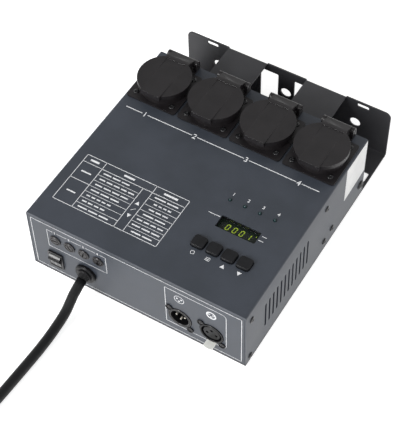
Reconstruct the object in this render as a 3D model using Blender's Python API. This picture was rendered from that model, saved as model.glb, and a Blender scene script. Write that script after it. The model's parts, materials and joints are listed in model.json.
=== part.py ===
# Four channel dimmer pack on its hanging bracket, one object for each piece.
# Metres, +Z up. The origin is the middle of the bracket's underside, the connector
# panel faces -Y and the bracket's back plate stands at +Y.

import math

import bmesh
import bpy
from mathutils import Matrix, Vector

mm = 0.001

# Clearances
rest_gap = 0.3 * mm
fit_gap = 0.4 * mm
pin_gap = 0.3 * mm
overlap = 0.6 * mm

# Case
case_width = 220 * mm
case_depth = 221 * mm
case_height = 74.5 * mm
case_sheet = 1.2 * mm
case_bend = 2 * mm
cover_lip = 3.2 * mm
tray_return = 11 * mm

# Hanging bracket
bracket_length = 272 * mm
bracket_sheet = 1.5 * mm
bracket_bend = 2.5 * mm
plate_height = 58.5 * mm
plate_corner = 6 * mm
clamp_hole = 11 * mm
clamp_pitch = 75 * mm
clamp_height = 29 * mm
hook_slot_size = (12 * mm, 4.5 * mm)
hook_slot_place = (case_width / 2 - 28.4 * mm, 54 * mm)
window_size = (19.3 * mm, 39.5 * mm)
window_place = (18.4 * mm, 29.75 * mm)
strap_slot_size = (20 * mm, 12 * mm)
strap_slot_place = (case_width / 2 - 13 * mm, 100 * mm)
tie_width = 42.5 * mm
tie_offset = 42.25 * mm
tie_lip = 12 * mm

# Side vents
vent_count = 12
vent_pitch = 6.83 * mm
vent_width = 2.6 * mm
vent_height = 33.5 * mm
vent_middle = 36 * mm
vent_start = 33.8 * mm

# Divider
divider_ahead = 35 * mm
divider_flange = 12 * mm
wire_notch = (30 * mm, 14 * mm)

# Outlets
outlet_count = 4
outlet_margin = 2.25 * mm
outlet_gap = 2.5 * mm
outlet_pitch = (case_width + outlet_gap - 2 * outlet_margin) / outlet_count
outlet_from_rear = 37.2 * mm
flange_size = outlet_pitch - outlet_gap
flange_corner = 2.8 * mm
flange_thick = 1.6 * mm
flange_ahead = 0.7 * mm
collar_radius = flange_size / 2 - 2.8 * mm
collar_height = 7.9 * mm
body_radius = flange_size / 2 - 4 * mm
body_depth = 34 * mm
recess_radius = collar_radius - 3.6 * mm
recess_depth = 17.5 * mm
plug_pin_spacing = 19 * mm
pin_hole_radius = 2.6 * mm
pin_hole_depth = 20 * mm
strap_width = 5 * mm
strap_thick = 1 * mm
strap_bulge = 1.8 * mm

# Outlet lids
lid_radius = outlet_pitch / 2 - 1.75 * mm
lid_thick = 4.6 * mm
lid_gap = 0.6 * mm
lid_lip = 0.4 * mm
lid_band_width = 20.4 * mm
lid_band_rise = 0.9 * mm
hinge_back = lid_radius + 7.7 * mm
hinge_drop = 3 * mm
knuckle_radius = 3.6 * mm
knuckle_width = 25.2 * mm
lug_width = 3.1 * mm
hinge_pin_radius = 1.25 * mm

# Fuses
fuse_count = 4
fuse_pitch = 14.83 * mm
fuse_middle = 51 * mm - case_width / 2
fuse_height = 51.6 * mm
fuse_flange_radius = 5.7 * mm
fuse_flange_thick = 1 * mm
fuse_body_radius = 4.9 * mm
fuse_body_length = 34 * mm
fuse_cap_radius = 4 * mm
fuse_cap_length = 12 * mm
fuse_cap_rise = 0.2 * mm
fuse_cap_angles = (78, -32, 15, 4)
fuse_slot = (1.1 * mm, 6.2 * mm, 1.2 * mm)
fuse_radius = 2.6 * mm
fuse_length = 20 * mm

# Mains switch
switch_place = (26.4 * mm - case_width / 2, 21.5 * mm)
switch_bezel = (15.4 * mm, 20.8 * mm)
switch_bezel_thick = 1.5 * mm
switch_body = (13.8 * mm, 19.4 * mm)
switch_wall = 0.8 * mm
switch_body_depth = 17 * mm
rocker_pivot_depth = 3 * mm
rocker_reach = 8.7 * mm
rocker_valley = 5.6 * mm
rocker_tilt = 17.5
rocker_pin_radius = 1.2 * mm

# Mains cord
cord_diameter = 9.3 * mm
cord_place = (58.5 * mm - case_width / 2, 23.6 * mm)
bush_flange_radius = 10.5 * mm
bush_flange_thick = 3.3 * mm
bush_neck_radius = 7.2 * mm
bush_neck_length = 1.6 * mm
bush_droop = 20
sleeve_root_radius = 5.8 * mm
sleeve_tip_radius = 5.1 * mm
sleeve_length = 3.6 * mm
bush_body_radius = 7 * mm
bush_body_length = 12 * mm
coil_turns = 3.5
coil_mean_radius = 54.5 * mm
coil_spacing = 10.1 * mm
coil_place = (cord_place[0] - 68.5 * mm, -bracket_length / 2 - 236 * mm)
coil_points = 24

# Mains plug
plug_face_radius = 18.6 * mm
plug_neck_radius = 6 * mm
plug_length = 52 * mm
plug_pin_radius = 2.4 * mm
plug_pin_length = 19 * mm
plug_tail = 44 * mm

# Data connectors
data_height = 25.8 * mm
data_in_x = case_width / 2 - 65 * mm
data_out_x = case_width / 2 - 33.5 * mm
data_hole_radius = 12.1 * mm
data_shell_wall = 1.8 * mm
data_shell_rise = 0.8 * mm
data_shell_depth = 18 * mm
data_flange = (26.4 * mm, 30.4 * mm)
data_flange_thick = 2 * mm
data_in_bore = 8.9 * mm
data_out_bore = 9.9 * mm
data_out_plug = 8.3 * mm
data_pin_radius = 1.2 * mm
data_pin_places = ((-4.3 * mm, 1 * mm), (4.3 * mm, 1 * mm), (0, -3.5 * mm))
tab_width = 9.3 * mm
tab_thick = 1 * mm
tab_reach = 7.8 * mm
tab_drop = 13.1 * mm

# Display, keys and lamps
window_middle = (case_width / 2 - 51.1 * mm, 75.6 * mm)
window_face = (38.1 * mm, 13 * mm)
window_rim = 1.5 * mm
window_thick = 1.6 * mm
window_recess = 4.6 * mm
display_face = (36 * mm, 12.4 * mm)
key_count = 4
key_pitch = 14.85 * mm
key_first_x = case_width / 2 - 72.6 * mm
key_back = 46.7 * mm
key_size = (12.4 * mm, 12.2 * mm)
key_corner = 2.4 * mm
key_rise = 3 * mm
key_travel = 0.8 * mm
key_rim = 0.6 * mm
lamp_first_x = case_width / 2 - 73 * mm
lamp_back = 99.7 * mm
lamp_radius = 1.5 * mm
lamp_rise = 1.7 * mm

# Boards
control_size = (72 * mm, 82 * mm)
control_middle = (case_width / 2 - 48 * mm, 73 * mm)
control_drop = 10.7 * mm
controller_size = (36 * mm, 14 * mm, 4 * mm)
header_size = (20 * mm, 8 * mm, 9 * mm)
header_place = (-15 * mm, 24 * mm)
key_switch_size = (8 * mm, 3.2 * mm)
board_thick = 1.6 * mm
power_front = 52 * mm
power_rear_gap = 14.8 * mm
power_side_gap = 12 * mm
power_width = 136 * mm
power_rise = 9 * mm
transformer_size = (42 * mm, 33 * mm, 32 * mm)
transformer_place = (6 * mm, 5 * mm)
terminal_size = (70 * mm, 11 * mm, 14 * mm)
terminal_place = (8 * mm, 4 * mm)
relay_size = (28 * mm, 13 * mm, 16 * mm)
relay_place = (90 * mm, 4 * mm)
choke_profile = (3 * mm, 9 * mm, 9 * mm)
choke_place = (62 * mm, 15 * mm)
choke_pitch = 20 * mm
capacitors = ((66 * mm, 8 * mm, 26 * mm), (85 * mm, 6.5 * mm, 20 * mm))
pillar_radius = 3 * mm
post_radius = 2.5 * mm

# Heat sink and triacs
sink_length = 50 * mm
sink_from_rear = 41.5 * mm
sink_width = 38 * mm
sink_height = 29.4 * mm
sink_thick = 3 * mm
triac_pitch = 12 * mm
triac_size = (4.5 * mm, 10 * mm, 15 * mm)
triac_rise = 5 * mm

# Places worked out from the sizes
front_y = -bracket_length / 2
rear_y = front_y + case_depth
tray_bottom = bracket_sheet + rest_gap
tray_floor = tray_bottom + case_sheet
tray_half = case_width / 2 - case_sheet - rest_gap
cover_under = case_height - case_sheet
tray_front_top = case_height - cover_lip - fit_gap
tray_rear_top = cover_under - rest_gap
panel_inside = front_y + case_sheet
outlet_y = rear_y - outlet_from_rear
divider_y = outlet_y - divider_ahead
sink_y = rear_y - sink_from_rear
power_length = divider_y - power_rear_gap - front_y - power_front
power_size = (power_width, power_length)
power_middle = (power_side_gap + (power_width - case_width) / 2, power_front + power_length / 2)
collar_top = rest_gap + flange_thick + collar_height
recess_floor = collar_top - recess_depth
lid_under = collar_top + lid_gap
lid_top = lid_under + lid_thick
hinge_rise = lid_top - hinge_drop - knuckle_radius - lid_band_rise + 0.2 * mm
board_top = cover_under - control_drop
power_top = tray_floor + power_rise + board_thick


def clear_scene():
    for item in list(bpy.data.objects):
        bpy.data.objects.remove(item)


def make_material(name, colour, roughness, metallic=0.0):
    finish = bpy.data.materials.new(name)
    finish.use_nodes = True
    shader = finish.node_tree.nodes["Principled BSDF"]
    shader.inputs["Base Color"].default_value = (*colour, 1)
    shader.inputs["Roughness"].default_value = roughness
    shader.inputs["Metallic"].default_value = metallic
    finish.diffuse_color = (*colour, 1)
    return finish


# Outlines are lists of two coordinates, anticlockwise.

def rectangle(a_low, a_high, b_low, b_high):
    return [(a_low, b_low), (a_high, b_low), (a_high, b_high), (a_low, b_high)]


def arc(middle, radius, start, end, steps):
    points = []
    for step in range(steps + 1):
        angle = math.radians(start + (end - start) * step / steps)
        points.append((middle[0] + radius * math.cos(angle), middle[1] + radius * math.sin(angle)))
    return points


def circle(middle, radius, sides):
    return arc(middle, radius, 0, 360 - 360 / sides, sides - 1)


def rounded(middle, size, corner, steps=3):
    half_a = size[0] / 2 - corner
    half_b = size[1] / 2 - corner
    points = []
    for sign_a, sign_b, start in ((1, 1, 0), (-1, 1, 90), (-1, -1, 180), (1, -1, 270)):
        centre = (middle[0] + sign_a * half_a, middle[1] + sign_b * half_b)
        points += arc(centre, corner, start, start + 90, steps)
    return points


# An outline lies in the plane across its axis: X takes (y, z), Y takes (x, z), Z takes (x, y).

def add_prism(bm, outline, low, high, axis):
    order = {"X": lambda a, b, c: (c, a, b), "Y": lambda a, b, c: (a, c, b), "Z": lambda a, b, c: (a, b, c)}
    place = order[axis]
    lower = [bm.verts.new(place(a, b, low)) for a, b in outline]
    upper = [bm.verts.new(place(a, b, high)) for a, b in outline]
    faces = [bm.faces.new(lower), bm.faces.new(upper)]
    for index in range(len(outline)):
        after = (index + 1) % len(outline)
        faces.append(bm.faces.new((lower[index], lower[after], upper[after], upper[index])))
    bmesh.ops.recalc_face_normals(bm, faces=faces)


# A turned profile is a list of (radius, distance along the axis); radius 0 closes an end.

def add_turned(bm, profile, sides, axis="Z", middle=(0, 0)):
    order = {"Y": lambda a, b, c: (middle[0] + a, c, middle[1] + b),
             "X": lambda a, b, c: (c, middle[0] + a, middle[1] + b),
             "Z": lambda a, b, c: (middle[0] + a, middle[1] + b, c)}
    place = order[axis]
    rings = []
    for radius, along in profile:
        if radius == 0:
            rings.append([bm.verts.new(place(0, 0, along))])
            continue
        ring = []
        for a, b in circle((0, 0), radius, sides):
            ring.append(bm.verts.new(place(a, b, along)))
        rings.append(ring)
    faces = []
    closed = profile[0][0] != 0
    pairs = list(zip(rings, rings[1:]))
    if closed:
        pairs.append((rings[-1], rings[0]))
    for first, second in pairs:
        for index in range(sides):
            after = (index + 1) % sides
            corners = [first[index % len(first)], first[after % len(first)]]
            corners += [second[after % len(second)], second[index % len(second)]]
            unique = list(dict.fromkeys(corners))
            faces.append(bm.faces.new(unique))
    bmesh.ops.recalc_face_normals(bm, faces=faces)


def mesh_object(name, bm):
    mesh = bpy.data.meshes.new(name)
    bm.to_mesh(mesh)
    bm.free()
    item = bpy.data.objects.new(name, mesh)
    bpy.context.scene.collection.objects.link(item)
    return item


def prism(outline, low, high, axis):
    bm = bmesh.new()
    add_prism(bm, outline, low, high, axis)
    return mesh_object("prism", bm)


def box(x_range, y_range, z_range):
    return prism(rectangle(*x_range, *y_range), *z_range, "Z")


def turned(profile, sides, axis="Z", middle=(0, 0)):
    bm = bmesh.new()
    add_turned(bm, profile, sides, axis, middle)
    return mesh_object("turned", bm)


def rod(radius, low, high, sides, axis="Z", middle=(0, 0)):
    return turned([(0, low), (radius, low), (radius, high), (0, high)], sides, axis, middle)


def combine(item, tool, operation):
    modifier = item.modifiers.new("combine", "BOOLEAN")
    modifier.operation = operation
    modifier.object = tool
    modifier.solver = "EXACT"
    graph = bpy.context.evaluated_depsgraph_get()
    mesh = bpy.data.meshes.new_from_object(item.evaluated_get(graph))
    item.modifiers.clear()
    old_mesh = item.data
    item.data = mesh
    bpy.data.meshes.remove(old_mesh)
    bpy.data.objects.remove(tool)
    return item


def join(item, *tools):
    for tool in tools:
        combine(item, tool, "UNION")
    return item


def cut(item, *tools):
    for tool in tools:
        combine(item, tool, "DIFFERENCE")
    return item


def finish_piece(item, name, finish, origin=(0, 0, 0)):
    item.data.transform(Matrix.Translation(-Vector(origin)))
    item.location = origin
    item.name = name
    item.data.name = name
    item.data.materials.clear()
    item.data.materials.append(finish)
    item.data.shade_smooth()
    item.data.set_sharp_from_angle(angle=math.radians(35))
    return item


# The first object of a row stays in place; the rest share its mesh.

def make_row(item, name, places, parent=None):
    for number, place in enumerate(places, 1):
        if number == 1:
            piece = item
        else:
            piece = bpy.data.objects.new(name, item.data)
            bpy.context.scene.collection.objects.link(piece)
        piece.name = f"{name}_{number}"
        piece.location = place
        piece.parent = parent


def outlet_x(number):
    return (number - (outlet_count - 1) / 2) * outlet_pitch


def fuse_x(number):
    return fuse_middle + (number - (fuse_count - 1) / 2) * fuse_pitch


def key_x(number):
    return key_first_x + number * key_pitch


def lamp_x(number):
    return lamp_first_x + number * key_pitch


def panel_cut(outline):
    return prism(outline, front_y - 5 * mm, panel_inside + 5 * mm, "Y")


# Case and bracket

def mounting_bracket():
    plate_rear = bracket_length / 2
    plate_front = plate_rear - bracket_sheet
    bend_middle = (plate_rear - bracket_bend, bracket_bend)
    outline = [(front_y, 0)]
    outline += arc(bend_middle, bracket_bend, -90, 0, 4)
    outline += [(plate_rear, plate_height), (plate_front, plate_height)]
    outline += arc(bend_middle, bracket_bend - bracket_sheet, 0, -90, 4)
    outline += [(front_y, bracket_sheet)]
    bracket = prism(outline, -case_width / 2, case_width / 2, "X")
    for side in (-1, 1):
        bracket = add_tie(bracket, side, plate_front, plate_rear)
    cut_bracket_plate(bracket, plate_front, plate_rear)
    cut_bracket_base(bracket)
    return finish_piece(bracket, "mounting_bracket", black_coat)


def add_tie(bracket, side, plate_front, plate_rear):
    x_low = side * tie_offset - tie_width / 2
    x_high = side * tie_offset + tie_width / 2
    lip_front = rear_y + rest_gap
    under = plate_height - bracket_sheet
    outline = [(lip_front, plate_height - tie_lip), (lip_front + bracket_sheet, plate_height - tie_lip)]
    outline += [(lip_front + bracket_sheet, under), (plate_front + bracket_sheet / 2, under)]
    outline += [(plate_front + bracket_sheet / 2, plate_height)]
    outline += arc((lip_front + bracket_bend, plate_height - bracket_bend), bracket_bend, 90, 180, 4)
    join(bracket, prism(outline, x_low, x_high, "X"))
    corner = [(plate_rear + mm, plate_height + mm), (plate_rear - bracket_bend, plate_height + mm)]
    corner += arc((plate_rear - bracket_bend, plate_height - bracket_bend), bracket_bend, 90, 0, 4)
    corner += [(plate_rear + mm, plate_height - bracket_bend)]
    return cut(bracket, prism(corner, x_low, x_high, "X"))


def cut_bracket_plate(bracket, plate_front, plate_rear):
    bm = bmesh.new()
    depth = (plate_front - mm, plate_rear + mm, "Y")
    for place in (-clamp_pitch, 0, clamp_pitch):
        add_prism(bm, circle((place, clamp_height), clamp_hole / 2, 20), *depth)
    for side in (-1, 1):
        slot_middle = (side * hook_slot_place[0], hook_slot_place[1])
        add_prism(bm, rounded(slot_middle, hook_slot_size, 1 * mm, 2), *depth)
        window_middle_xz = (side * window_place[0], window_place[1])
        add_prism(bm, rounded(window_middle_xz, window_size, 1 * mm, 2), *depth)
        edge = side * case_width / 2
        middle = (edge - side * plate_corner, plate_height - plate_corner)
        start, end = (90, 0) if side > 0 else (90, 180)
        corner = [(edge + side * mm, plate_height + mm), (middle[0], plate_height + mm)]
        corner += arc(middle, plate_corner, start, end, 5)
        corner += [(edge + side * mm, middle[1])]
        add_prism(bm, corner, *depth)
    cut(bracket, mesh_object("plate_cuts", bm))


def cut_bracket_base(bracket):
    bm = bmesh.new()
    for side in (-1, 1):
        middle = (side * strap_slot_place[0], strap_slot_place[1])
        add_prism(bm, rounded(middle, strap_slot_size, 1.5 * mm, 2), -mm, bracket_sheet + mm, "Z")
    cut(bracket, mesh_object("base_cuts", bm))


def chassis_tray():
    f, r, s = front_y, rear_y, case_sheet
    outline = [(f, tray_bottom), (r, tray_bottom), (r, tray_rear_top), (r - tray_return, tray_rear_top)]
    outline += [(r - tray_return, tray_rear_top - s), (r - s, tray_rear_top - s), (r - s, tray_floor)]
    outline += [(f + s, tray_floor), (f + s, tray_front_top - s), (f + tray_return, tray_front_top - s)]
    outline += [(f + tray_return, tray_front_top), (f, tray_front_top)]
    tray = prism(outline, -tray_half, tray_half, "X")
    join(tray, tray_side_flanges())
    join(tray, tray_pillars())
    cut_connector_panel(tray)
    return finish_piece(tray, "chassis_tray", grey_coat)


def tray_side_flanges():
    bm = bmesh.new()
    height = (tray_floor + 2 * mm, tray_front_top - case_sheet - 2 * mm)
    for side in (-1, 1):
        x_range = sorted((side * tray_half, side * (tray_half - case_sheet)))
        for y_range in ((panel_inside - case_sheet / 2, front_y + 15 * mm),
                        (rear_y - 15 * mm, rear_y - case_sheet / 2)):
            add_prism(bm, rectangle(*x_range, *y_range), *height, "Z")
    return mesh_object("side_flanges", bm)


def board_corners(middle, size, inset):
    corners = []
    for side_x in (-1, 1):
        for side_y in (-1, 1):
            x = middle[0] + side_x * (size[0] / 2 - inset)
            y = front_y + middle[1] + side_y * (size[1] / 2 - inset)
            corners.append((x, y))
    return corners


def tray_pillars():
    bm = bmesh.new()
    top = power_top - board_thick - rest_gap
    for corner in board_corners(power_middle, power_size, 5 * mm):
        low = tray_floor - overlap
        profile = [(0, low), (pillar_radius, low), (pillar_radius, top), (0, top)]
        add_turned(bm, profile, 12, "Z", corner)
    return mesh_object("pillars", bm)


def cut_connector_panel(tray):
    bm = bmesh.new()
    depth = (front_y - 2 * mm, panel_inside + 2 * mm, "Y")
    for number in range(fuse_count):
        add_prism(bm, circle((fuse_x(number), fuse_height), fuse_body_radius + fit_gap, 16), *depth)
    switch_hole = (switch_body[0] + 2 * rest_gap, switch_body[1] + 2 * rest_gap)
    add_prism(bm, rounded(switch_place, switch_hole, 0.5 * mm, 1), *depth)
    add_prism(bm, circle(cord_place, bush_body_radius + rest_gap, 24), *depth)
    add_prism(bm, circle((data_in_x, data_height), data_hole_radius, 28), *depth)
    cut(tray, mesh_object("panel_cuts", bm))
    cut(tray, panel_cut(circle((data_out_x, data_height), data_hole_radius, 28)))
    tab_top = data_height - tab_drop + 2 * tab_thick
    tab_bottom = data_height - tab_drop - tab_thick
    half = tab_width / 2 + fit_gap
    cut(tray, panel_cut(rectangle(data_out_x - half, data_out_x + half, tab_bottom, tab_top)))


def top_cover():
    half = case_width / 2
    bend_x = half - case_bend
    bend_z = case_height - case_bend
    outline = [(half, tray_bottom)]
    outline += arc((bend_x, bend_z), case_bend, 0, 90, 4)
    outline += arc((-bend_x, bend_z), case_bend, 90, 180, 4)
    outline += [(-half, tray_bottom), (case_sheet - half, tray_bottom), (case_sheet - half, cover_under)]
    outline += [(half - case_sheet, cover_under), (half - case_sheet, tray_bottom)]
    cover = prism(outline, front_y, rear_y, "Y")
    lip_z = (case_height - cover_lip, case_height - case_sheet / 2)
    lip_x = (overlap - half, half - overlap)
    join(cover, box(lip_x, (front_y, front_y + case_sheet), lip_z))
    join(cover, cover_posts())
    cut(cover, cover_top_cuts())
    cut(cover, cover_vents())
    return finish_piece(cover, "top_cover", grey_coat)


def cover_posts():
    bm = bmesh.new()
    bottom = board_top + rest_gap
    for corner in board_corners(control_middle, control_size, 4 * mm):
        profile = [(0, bottom), (post_radius, bottom), (post_radius, cover_under + overlap)]
        add_turned(bm, profile + [(0, cover_under + overlap)], 12, "Z", corner)
    return mesh_object("posts", bm)


def cover_top_cuts():
    bm = bmesh.new()
    depth = (cover_under - 2 * mm, case_height + 2 * mm, "Z")
    for number in range(outlet_count):
        add_prism(bm, circle((outlet_x(number), outlet_y), body_radius + fit_gap, 28), *depth)
    window_hole = (window_face[0] + 2 * rest_gap, window_face[1] + 2 * rest_gap)
    middle = (window_middle[0], front_y + window_middle[1])
    add_prism(bm, rounded(middle, window_hole, 1 * mm, 2), *depth)
    key_hole = (key_size[0] + 2 * fit_gap, key_size[1] + 2 * fit_gap)
    for number in range(key_count):
        add_prism(bm, rounded((key_x(number), front_y + key_back), key_hole, key_corner + fit_gap, 2), *depth)
        add_prism(bm, circle((lamp_x(number), front_y + lamp_back), lamp_radius + fit_gap, 10), *depth)
    return mesh_object("top_cuts", bm)


def cover_vents():
    bm = bmesh.new()
    for side in (-1, 1):
        depth = sorted((side * (case_width / 2 + mm), side * (case_width / 2 - case_sheet - mm)))
        for number in range(vent_count):
            middle = (front_y + vent_start + number * vent_pitch, vent_middle)
            slot = rounded(middle, (vent_width, vent_height), vent_width / 2 - 0.2 * mm, 1)
            add_prism(bm, slot, *depth, "X")
    return mesh_object("vents", bm)


def divider_plate():
    sheet_y = (divider_y, divider_y + case_sheet)
    bottom = tray_floor + rest_gap
    top = cover_under - fit_gap
    half = tray_half
    plate = box((-half, half), sheet_y, (bottom, top))
    bm = bmesh.new()
    flange_y = (sheet_y[1] - divider_flange, sheet_y[0] + case_sheet / 2)
    for side in (-1, 1):
        x_range = sorted((side * half, side * (half - case_sheet)))
        add_prism(bm, rectangle(*x_range, *flange_y), bottom + 2 * mm, top - 2 * mm, "Z")
    foot_x = half - 5 * mm
    add_prism(bm, rectangle(-foot_x, foot_x, *flange_y), bottom, bottom + case_sheet, "Z")
    join(plate, mesh_object("divider_flanges", bm))
    notch = wire_notch[0] / 2
    notch_z = (bottom - mm, bottom + wire_notch[1])
    cut(plate, box((-notch, notch), (flange_y[0] - mm, sheet_y[1] + mm), notch_z))
    return finish_piece(plate, "divider_plate", zinc)


# Outlets. The shared shapes are drawn round the flange's middle, on the cover's top face.

def outlet_places():
    return [(outlet_x(number), outlet_y, case_height) for number in range(outlet_count)]


def hinge_places():
    y, z = outlet_y + hinge_back, case_height + hinge_rise
    return [(outlet_x(number), y, z) for number in range(outlet_count)]


def socket_bodies():
    flange_top = rest_gap + flange_thick
    flange = rounded((0, -flange_ahead), (flange_size, flange_size), flange_corner)
    body = prism(flange, rest_gap, flange_top, "Z")
    join(body, rod(body_radius, -body_depth, flange_top - overlap, 24))
    join(body, rod(collar_radius, flange_top - overlap, collar_top, 36))
    ledge_half = knuckle_width / 2 + fit_gap + lug_width
    ledge_rear = hinge_back + knuckle_radius
    ledge_y = (flange_size / 2 - 3 * mm, ledge_rear)
    join(body, box((-ledge_half, ledge_half), ledge_y, (rest_gap, flange_top)))
    for side in (-1, 1):
        join(body, hinge_lug(side, flange_top))
    bore = hinge_pin_radius + pin_gap
    cut(body, rod(bore, -ledge_half - mm, ledge_half + mm, 10, "X", (hinge_back, hinge_rise)))
    cut(body, rod(recess_radius, recess_floor, collar_top + mm, 28))
    cut(body, socket_hollows())
    finish_piece(body, "socket_body", black_plastic)
    make_row(body, "socket_body", outlet_places())


def hinge_lug(side, flange_top):
    inner = knuckle_width / 2 + fit_gap
    x_range = sorted((side * inner, side * (inner + lug_width)))
    low = flange_top - overlap
    outline = [(hinge_back - knuckle_radius, low), (hinge_back + knuckle_radius, low)]
    outline += arc((hinge_back, hinge_rise), knuckle_radius, 0, 180, 6)
    return prism(outline, *x_range, "X")


def socket_hollows():
    bm = bmesh.new()
    for side in (-1, 1):
        middle = (side * plug_pin_spacing / 2, 0)
        hole = circle(middle, pin_hole_radius, 10)
        add_prism(bm, hole, recess_floor - pin_hole_depth, recess_floor + mm, "Z")
        inner = recess_radius - strap_thick - rest_gap - 0.3 * mm
        outer = recess_radius + strap_thick + fit_gap
        half = strap_width / 2 + fit_gap
        y_range = sorted((side * inner, side * outer))
        add_prism(bm, rectangle(-half, half, *y_range), -body_depth - mm, collar_top + mm, "Z")
    return mesh_object("hollows", bm)


def earth_straps():
    outer = recess_radius + strap_thick / 2
    inner = outer - strap_thick
    top = collar_top - 2.5 * mm
    bar_top = -body_depth - rest_gap
    bulge_top = recess_floor + 0.7 * recess_depth
    bulge_low = recess_floor + 0.25 * recess_depth
    bulge_mid = (bulge_top + bulge_low) / 2
    outline = [(outer, bar_top - strap_thick), (outer, bulge_low), (outer - strap_bulge, bulge_mid)]
    outline += [(outer, bulge_top), (outer, top), (inner, top), (inner, bulge_top)]
    outline += [(inner - strap_bulge, bulge_mid), (inner, bulge_low), (inner, bar_top)]
    mirrored = [(-a, b) for a, b in reversed(outline)]
    strap = prism(outline + mirrored, -strap_width / 2, strap_width / 2, "X")
    finish_piece(strap, "earth_strap", brass)
    make_row(strap, "earth_strap", outlet_places())


# The lid is drawn round its hinge axis and reaches forward to -Y.

def socket_lids():
    low = lid_under - hinge_rise
    high = lid_top - hinge_rise
    front = -hinge_back - lid_radius - lid_lip
    half_band = lid_band_width / 2
    lid = prism(circle((0, -hinge_back), lid_radius, 40), low, high, "Z")
    join(lid, box((-half_band, half_band), (front, -hinge_back), (low, high)))
    join(lid, lid_arm(low, high))
    middle = -hinge_back + 2 * mm
    rise = [(front, high - overlap), (middle, high - overlap), (middle, high), (front, high + lid_band_rise)]
    join(lid, prism(rise, -half_band, half_band, "X"))
    rear = middle + 0.75 * lid_radius
    dip = [(middle, high), (rear, high - lid_band_rise * 0.7), (rear, high + mm), (middle, high + mm)]
    cut(lid, prism(dip, -half_band, half_band, "X"))
    half_knuckle = knuckle_width / 2
    join(lid, rod(knuckle_radius, -half_knuckle, half_knuckle, 14, "X"))
    cut(lid, rod(hinge_pin_radius + pin_gap, -half_knuckle - mm, half_knuckle + mm, 10, "X"))
    finish_piece(lid, "socket_lid", black_plastic)
    make_row(lid, "socket_lid", hinge_places())


def lid_arm(low, high):
    root = -collar_radius + hinge_back
    outline = [(-root - 8 * mm, low), (-root + 0.5 * mm, low), (-root + 3 * mm, -1.5 * mm), (0, -1.5 * mm)]
    outline += [(0, knuckle_radius - 0.1 * mm), (-root + 2 * mm, high), (-root - 8 * mm, high)]
    half = knuckle_width / 2 - 0.3 * mm
    return prism(outline, -half, half, "X")


def lid_pins():
    half = knuckle_width / 2 + fit_gap + lug_width - 0.3 * mm
    pin = rod(hinge_pin_radius, -half, half, 10, "X")
    finish_piece(pin, "lid_pin", steel)
    make_row(pin, "lid_pin", hinge_places())


# Fuses. Each is drawn round its axis, with y = 0 on the panel's front face.

def fuse_places():
    return [(fuse_x(number), front_y, fuse_height) for number in range(fuse_count)]


def fuse_holders():
    cap_bore = fuse_cap_radius + fit_gap
    fuse_bore = fuse_radius + fit_gap
    flange_front = -rest_gap - fuse_flange_thick
    step = flange_front - fuse_cap_rise + fuse_cap_length + fit_gap
    bore_end = step + fuse_length + fit_gap
    profile = [(fuse_flange_radius - 0.4 * mm, flange_front), (fuse_flange_radius, flange_front + 0.4 * mm)]
    profile += [(fuse_flange_radius, -rest_gap), (fuse_body_radius, -rest_gap)]
    profile += [(fuse_body_radius, fuse_body_length), (0, fuse_body_length)]
    bore = [(0, bore_end), (fuse_bore, bore_end), (fuse_bore, step)]
    bore += [(cap_bore, step), (cap_bore, flange_front)]
    holder = turned(bore + profile, 16, "Y")
    finish_piece(holder, "fuse_holder", black_plastic)
    make_row(holder, "fuse_holder", fuse_places())


def fuse_caps():
    front = -rest_gap - fuse_flange_thick - fuse_cap_rise
    profile = [(0, front), (fuse_cap_radius - 0.5 * mm, front), (fuse_cap_radius, front + 0.5 * mm)]
    profile += [(fuse_cap_radius, front + fuse_cap_length), (0, front + fuse_cap_length)]
    width, length, depth = fuse_slot
    for number, angle in enumerate(fuse_cap_angles, 1):
        cap = turned(profile, 16, "Y")
        slot = box((-width / 2, width / 2), (front - mm, front + depth), (-length / 2, length / 2))
        slot.data.transform(Matrix.Rotation(math.radians(angle), 4, "Y"))
        cut(cap, slot)
        finish_piece(cap, f"fuse_cap_{number}", black_plastic)
        cap.location = fuse_places()[number - 1]


def fuse_links():
    start = -rest_gap - fuse_flange_thick - fuse_cap_rise + fuse_cap_length + rest_gap
    cap_end = 5 * mm
    glass = fuse_radius - 0.2 * mm
    profile = [(0, start), (fuse_radius, start), (fuse_radius, start + cap_end), (glass, start + cap_end)]
    profile += [(glass, start + fuse_length - cap_end), (fuse_radius, start + fuse_length - cap_end)]
    profile += [(fuse_radius, start + fuse_length), (0, start + fuse_length)]
    link = turned(profile, 10, "Y")
    finish_piece(link, "fuse_link", glass_clear)
    make_row(link, "fuse_link", fuse_places())


# Mains switch

def switch_housing():
    x, z = switch_place
    front = front_y - rest_gap - switch_bezel_thick
    housing = prism(rounded(switch_place, switch_bezel, 1.2 * mm), front, front_y - rest_gap, "Y")
    width, height = switch_body
    body = rectangle(x - width / 2, x + width / 2, z - height / 2, z + height / 2)
    join(housing, prism(body, front_y - rest_gap - overlap, front_y + switch_body_depth, "Y"))
    half_x = switch_body[0] / 2 - switch_wall
    half_z = switch_body[1] / 2 - switch_wall
    well = rectangle(x - half_x, x + half_x, z - half_z, z + half_z)
    pivot_y = front_y + rocker_pivot_depth
    cut(housing, prism(well, front - mm, pivot_y + 3.4 * mm, "Y"))
    reach = switch_body[0] / 2 + mm
    hole = rod(rocker_pin_radius + pin_gap, x - reach, x + reach, 12, "X", (pivot_y, z))
    cut(housing, hole)
    return finish_piece(housing, "switch_housing", black_plastic)


# The rocker is drawn round its pivot, level, then tilted with its upper end out.

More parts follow.
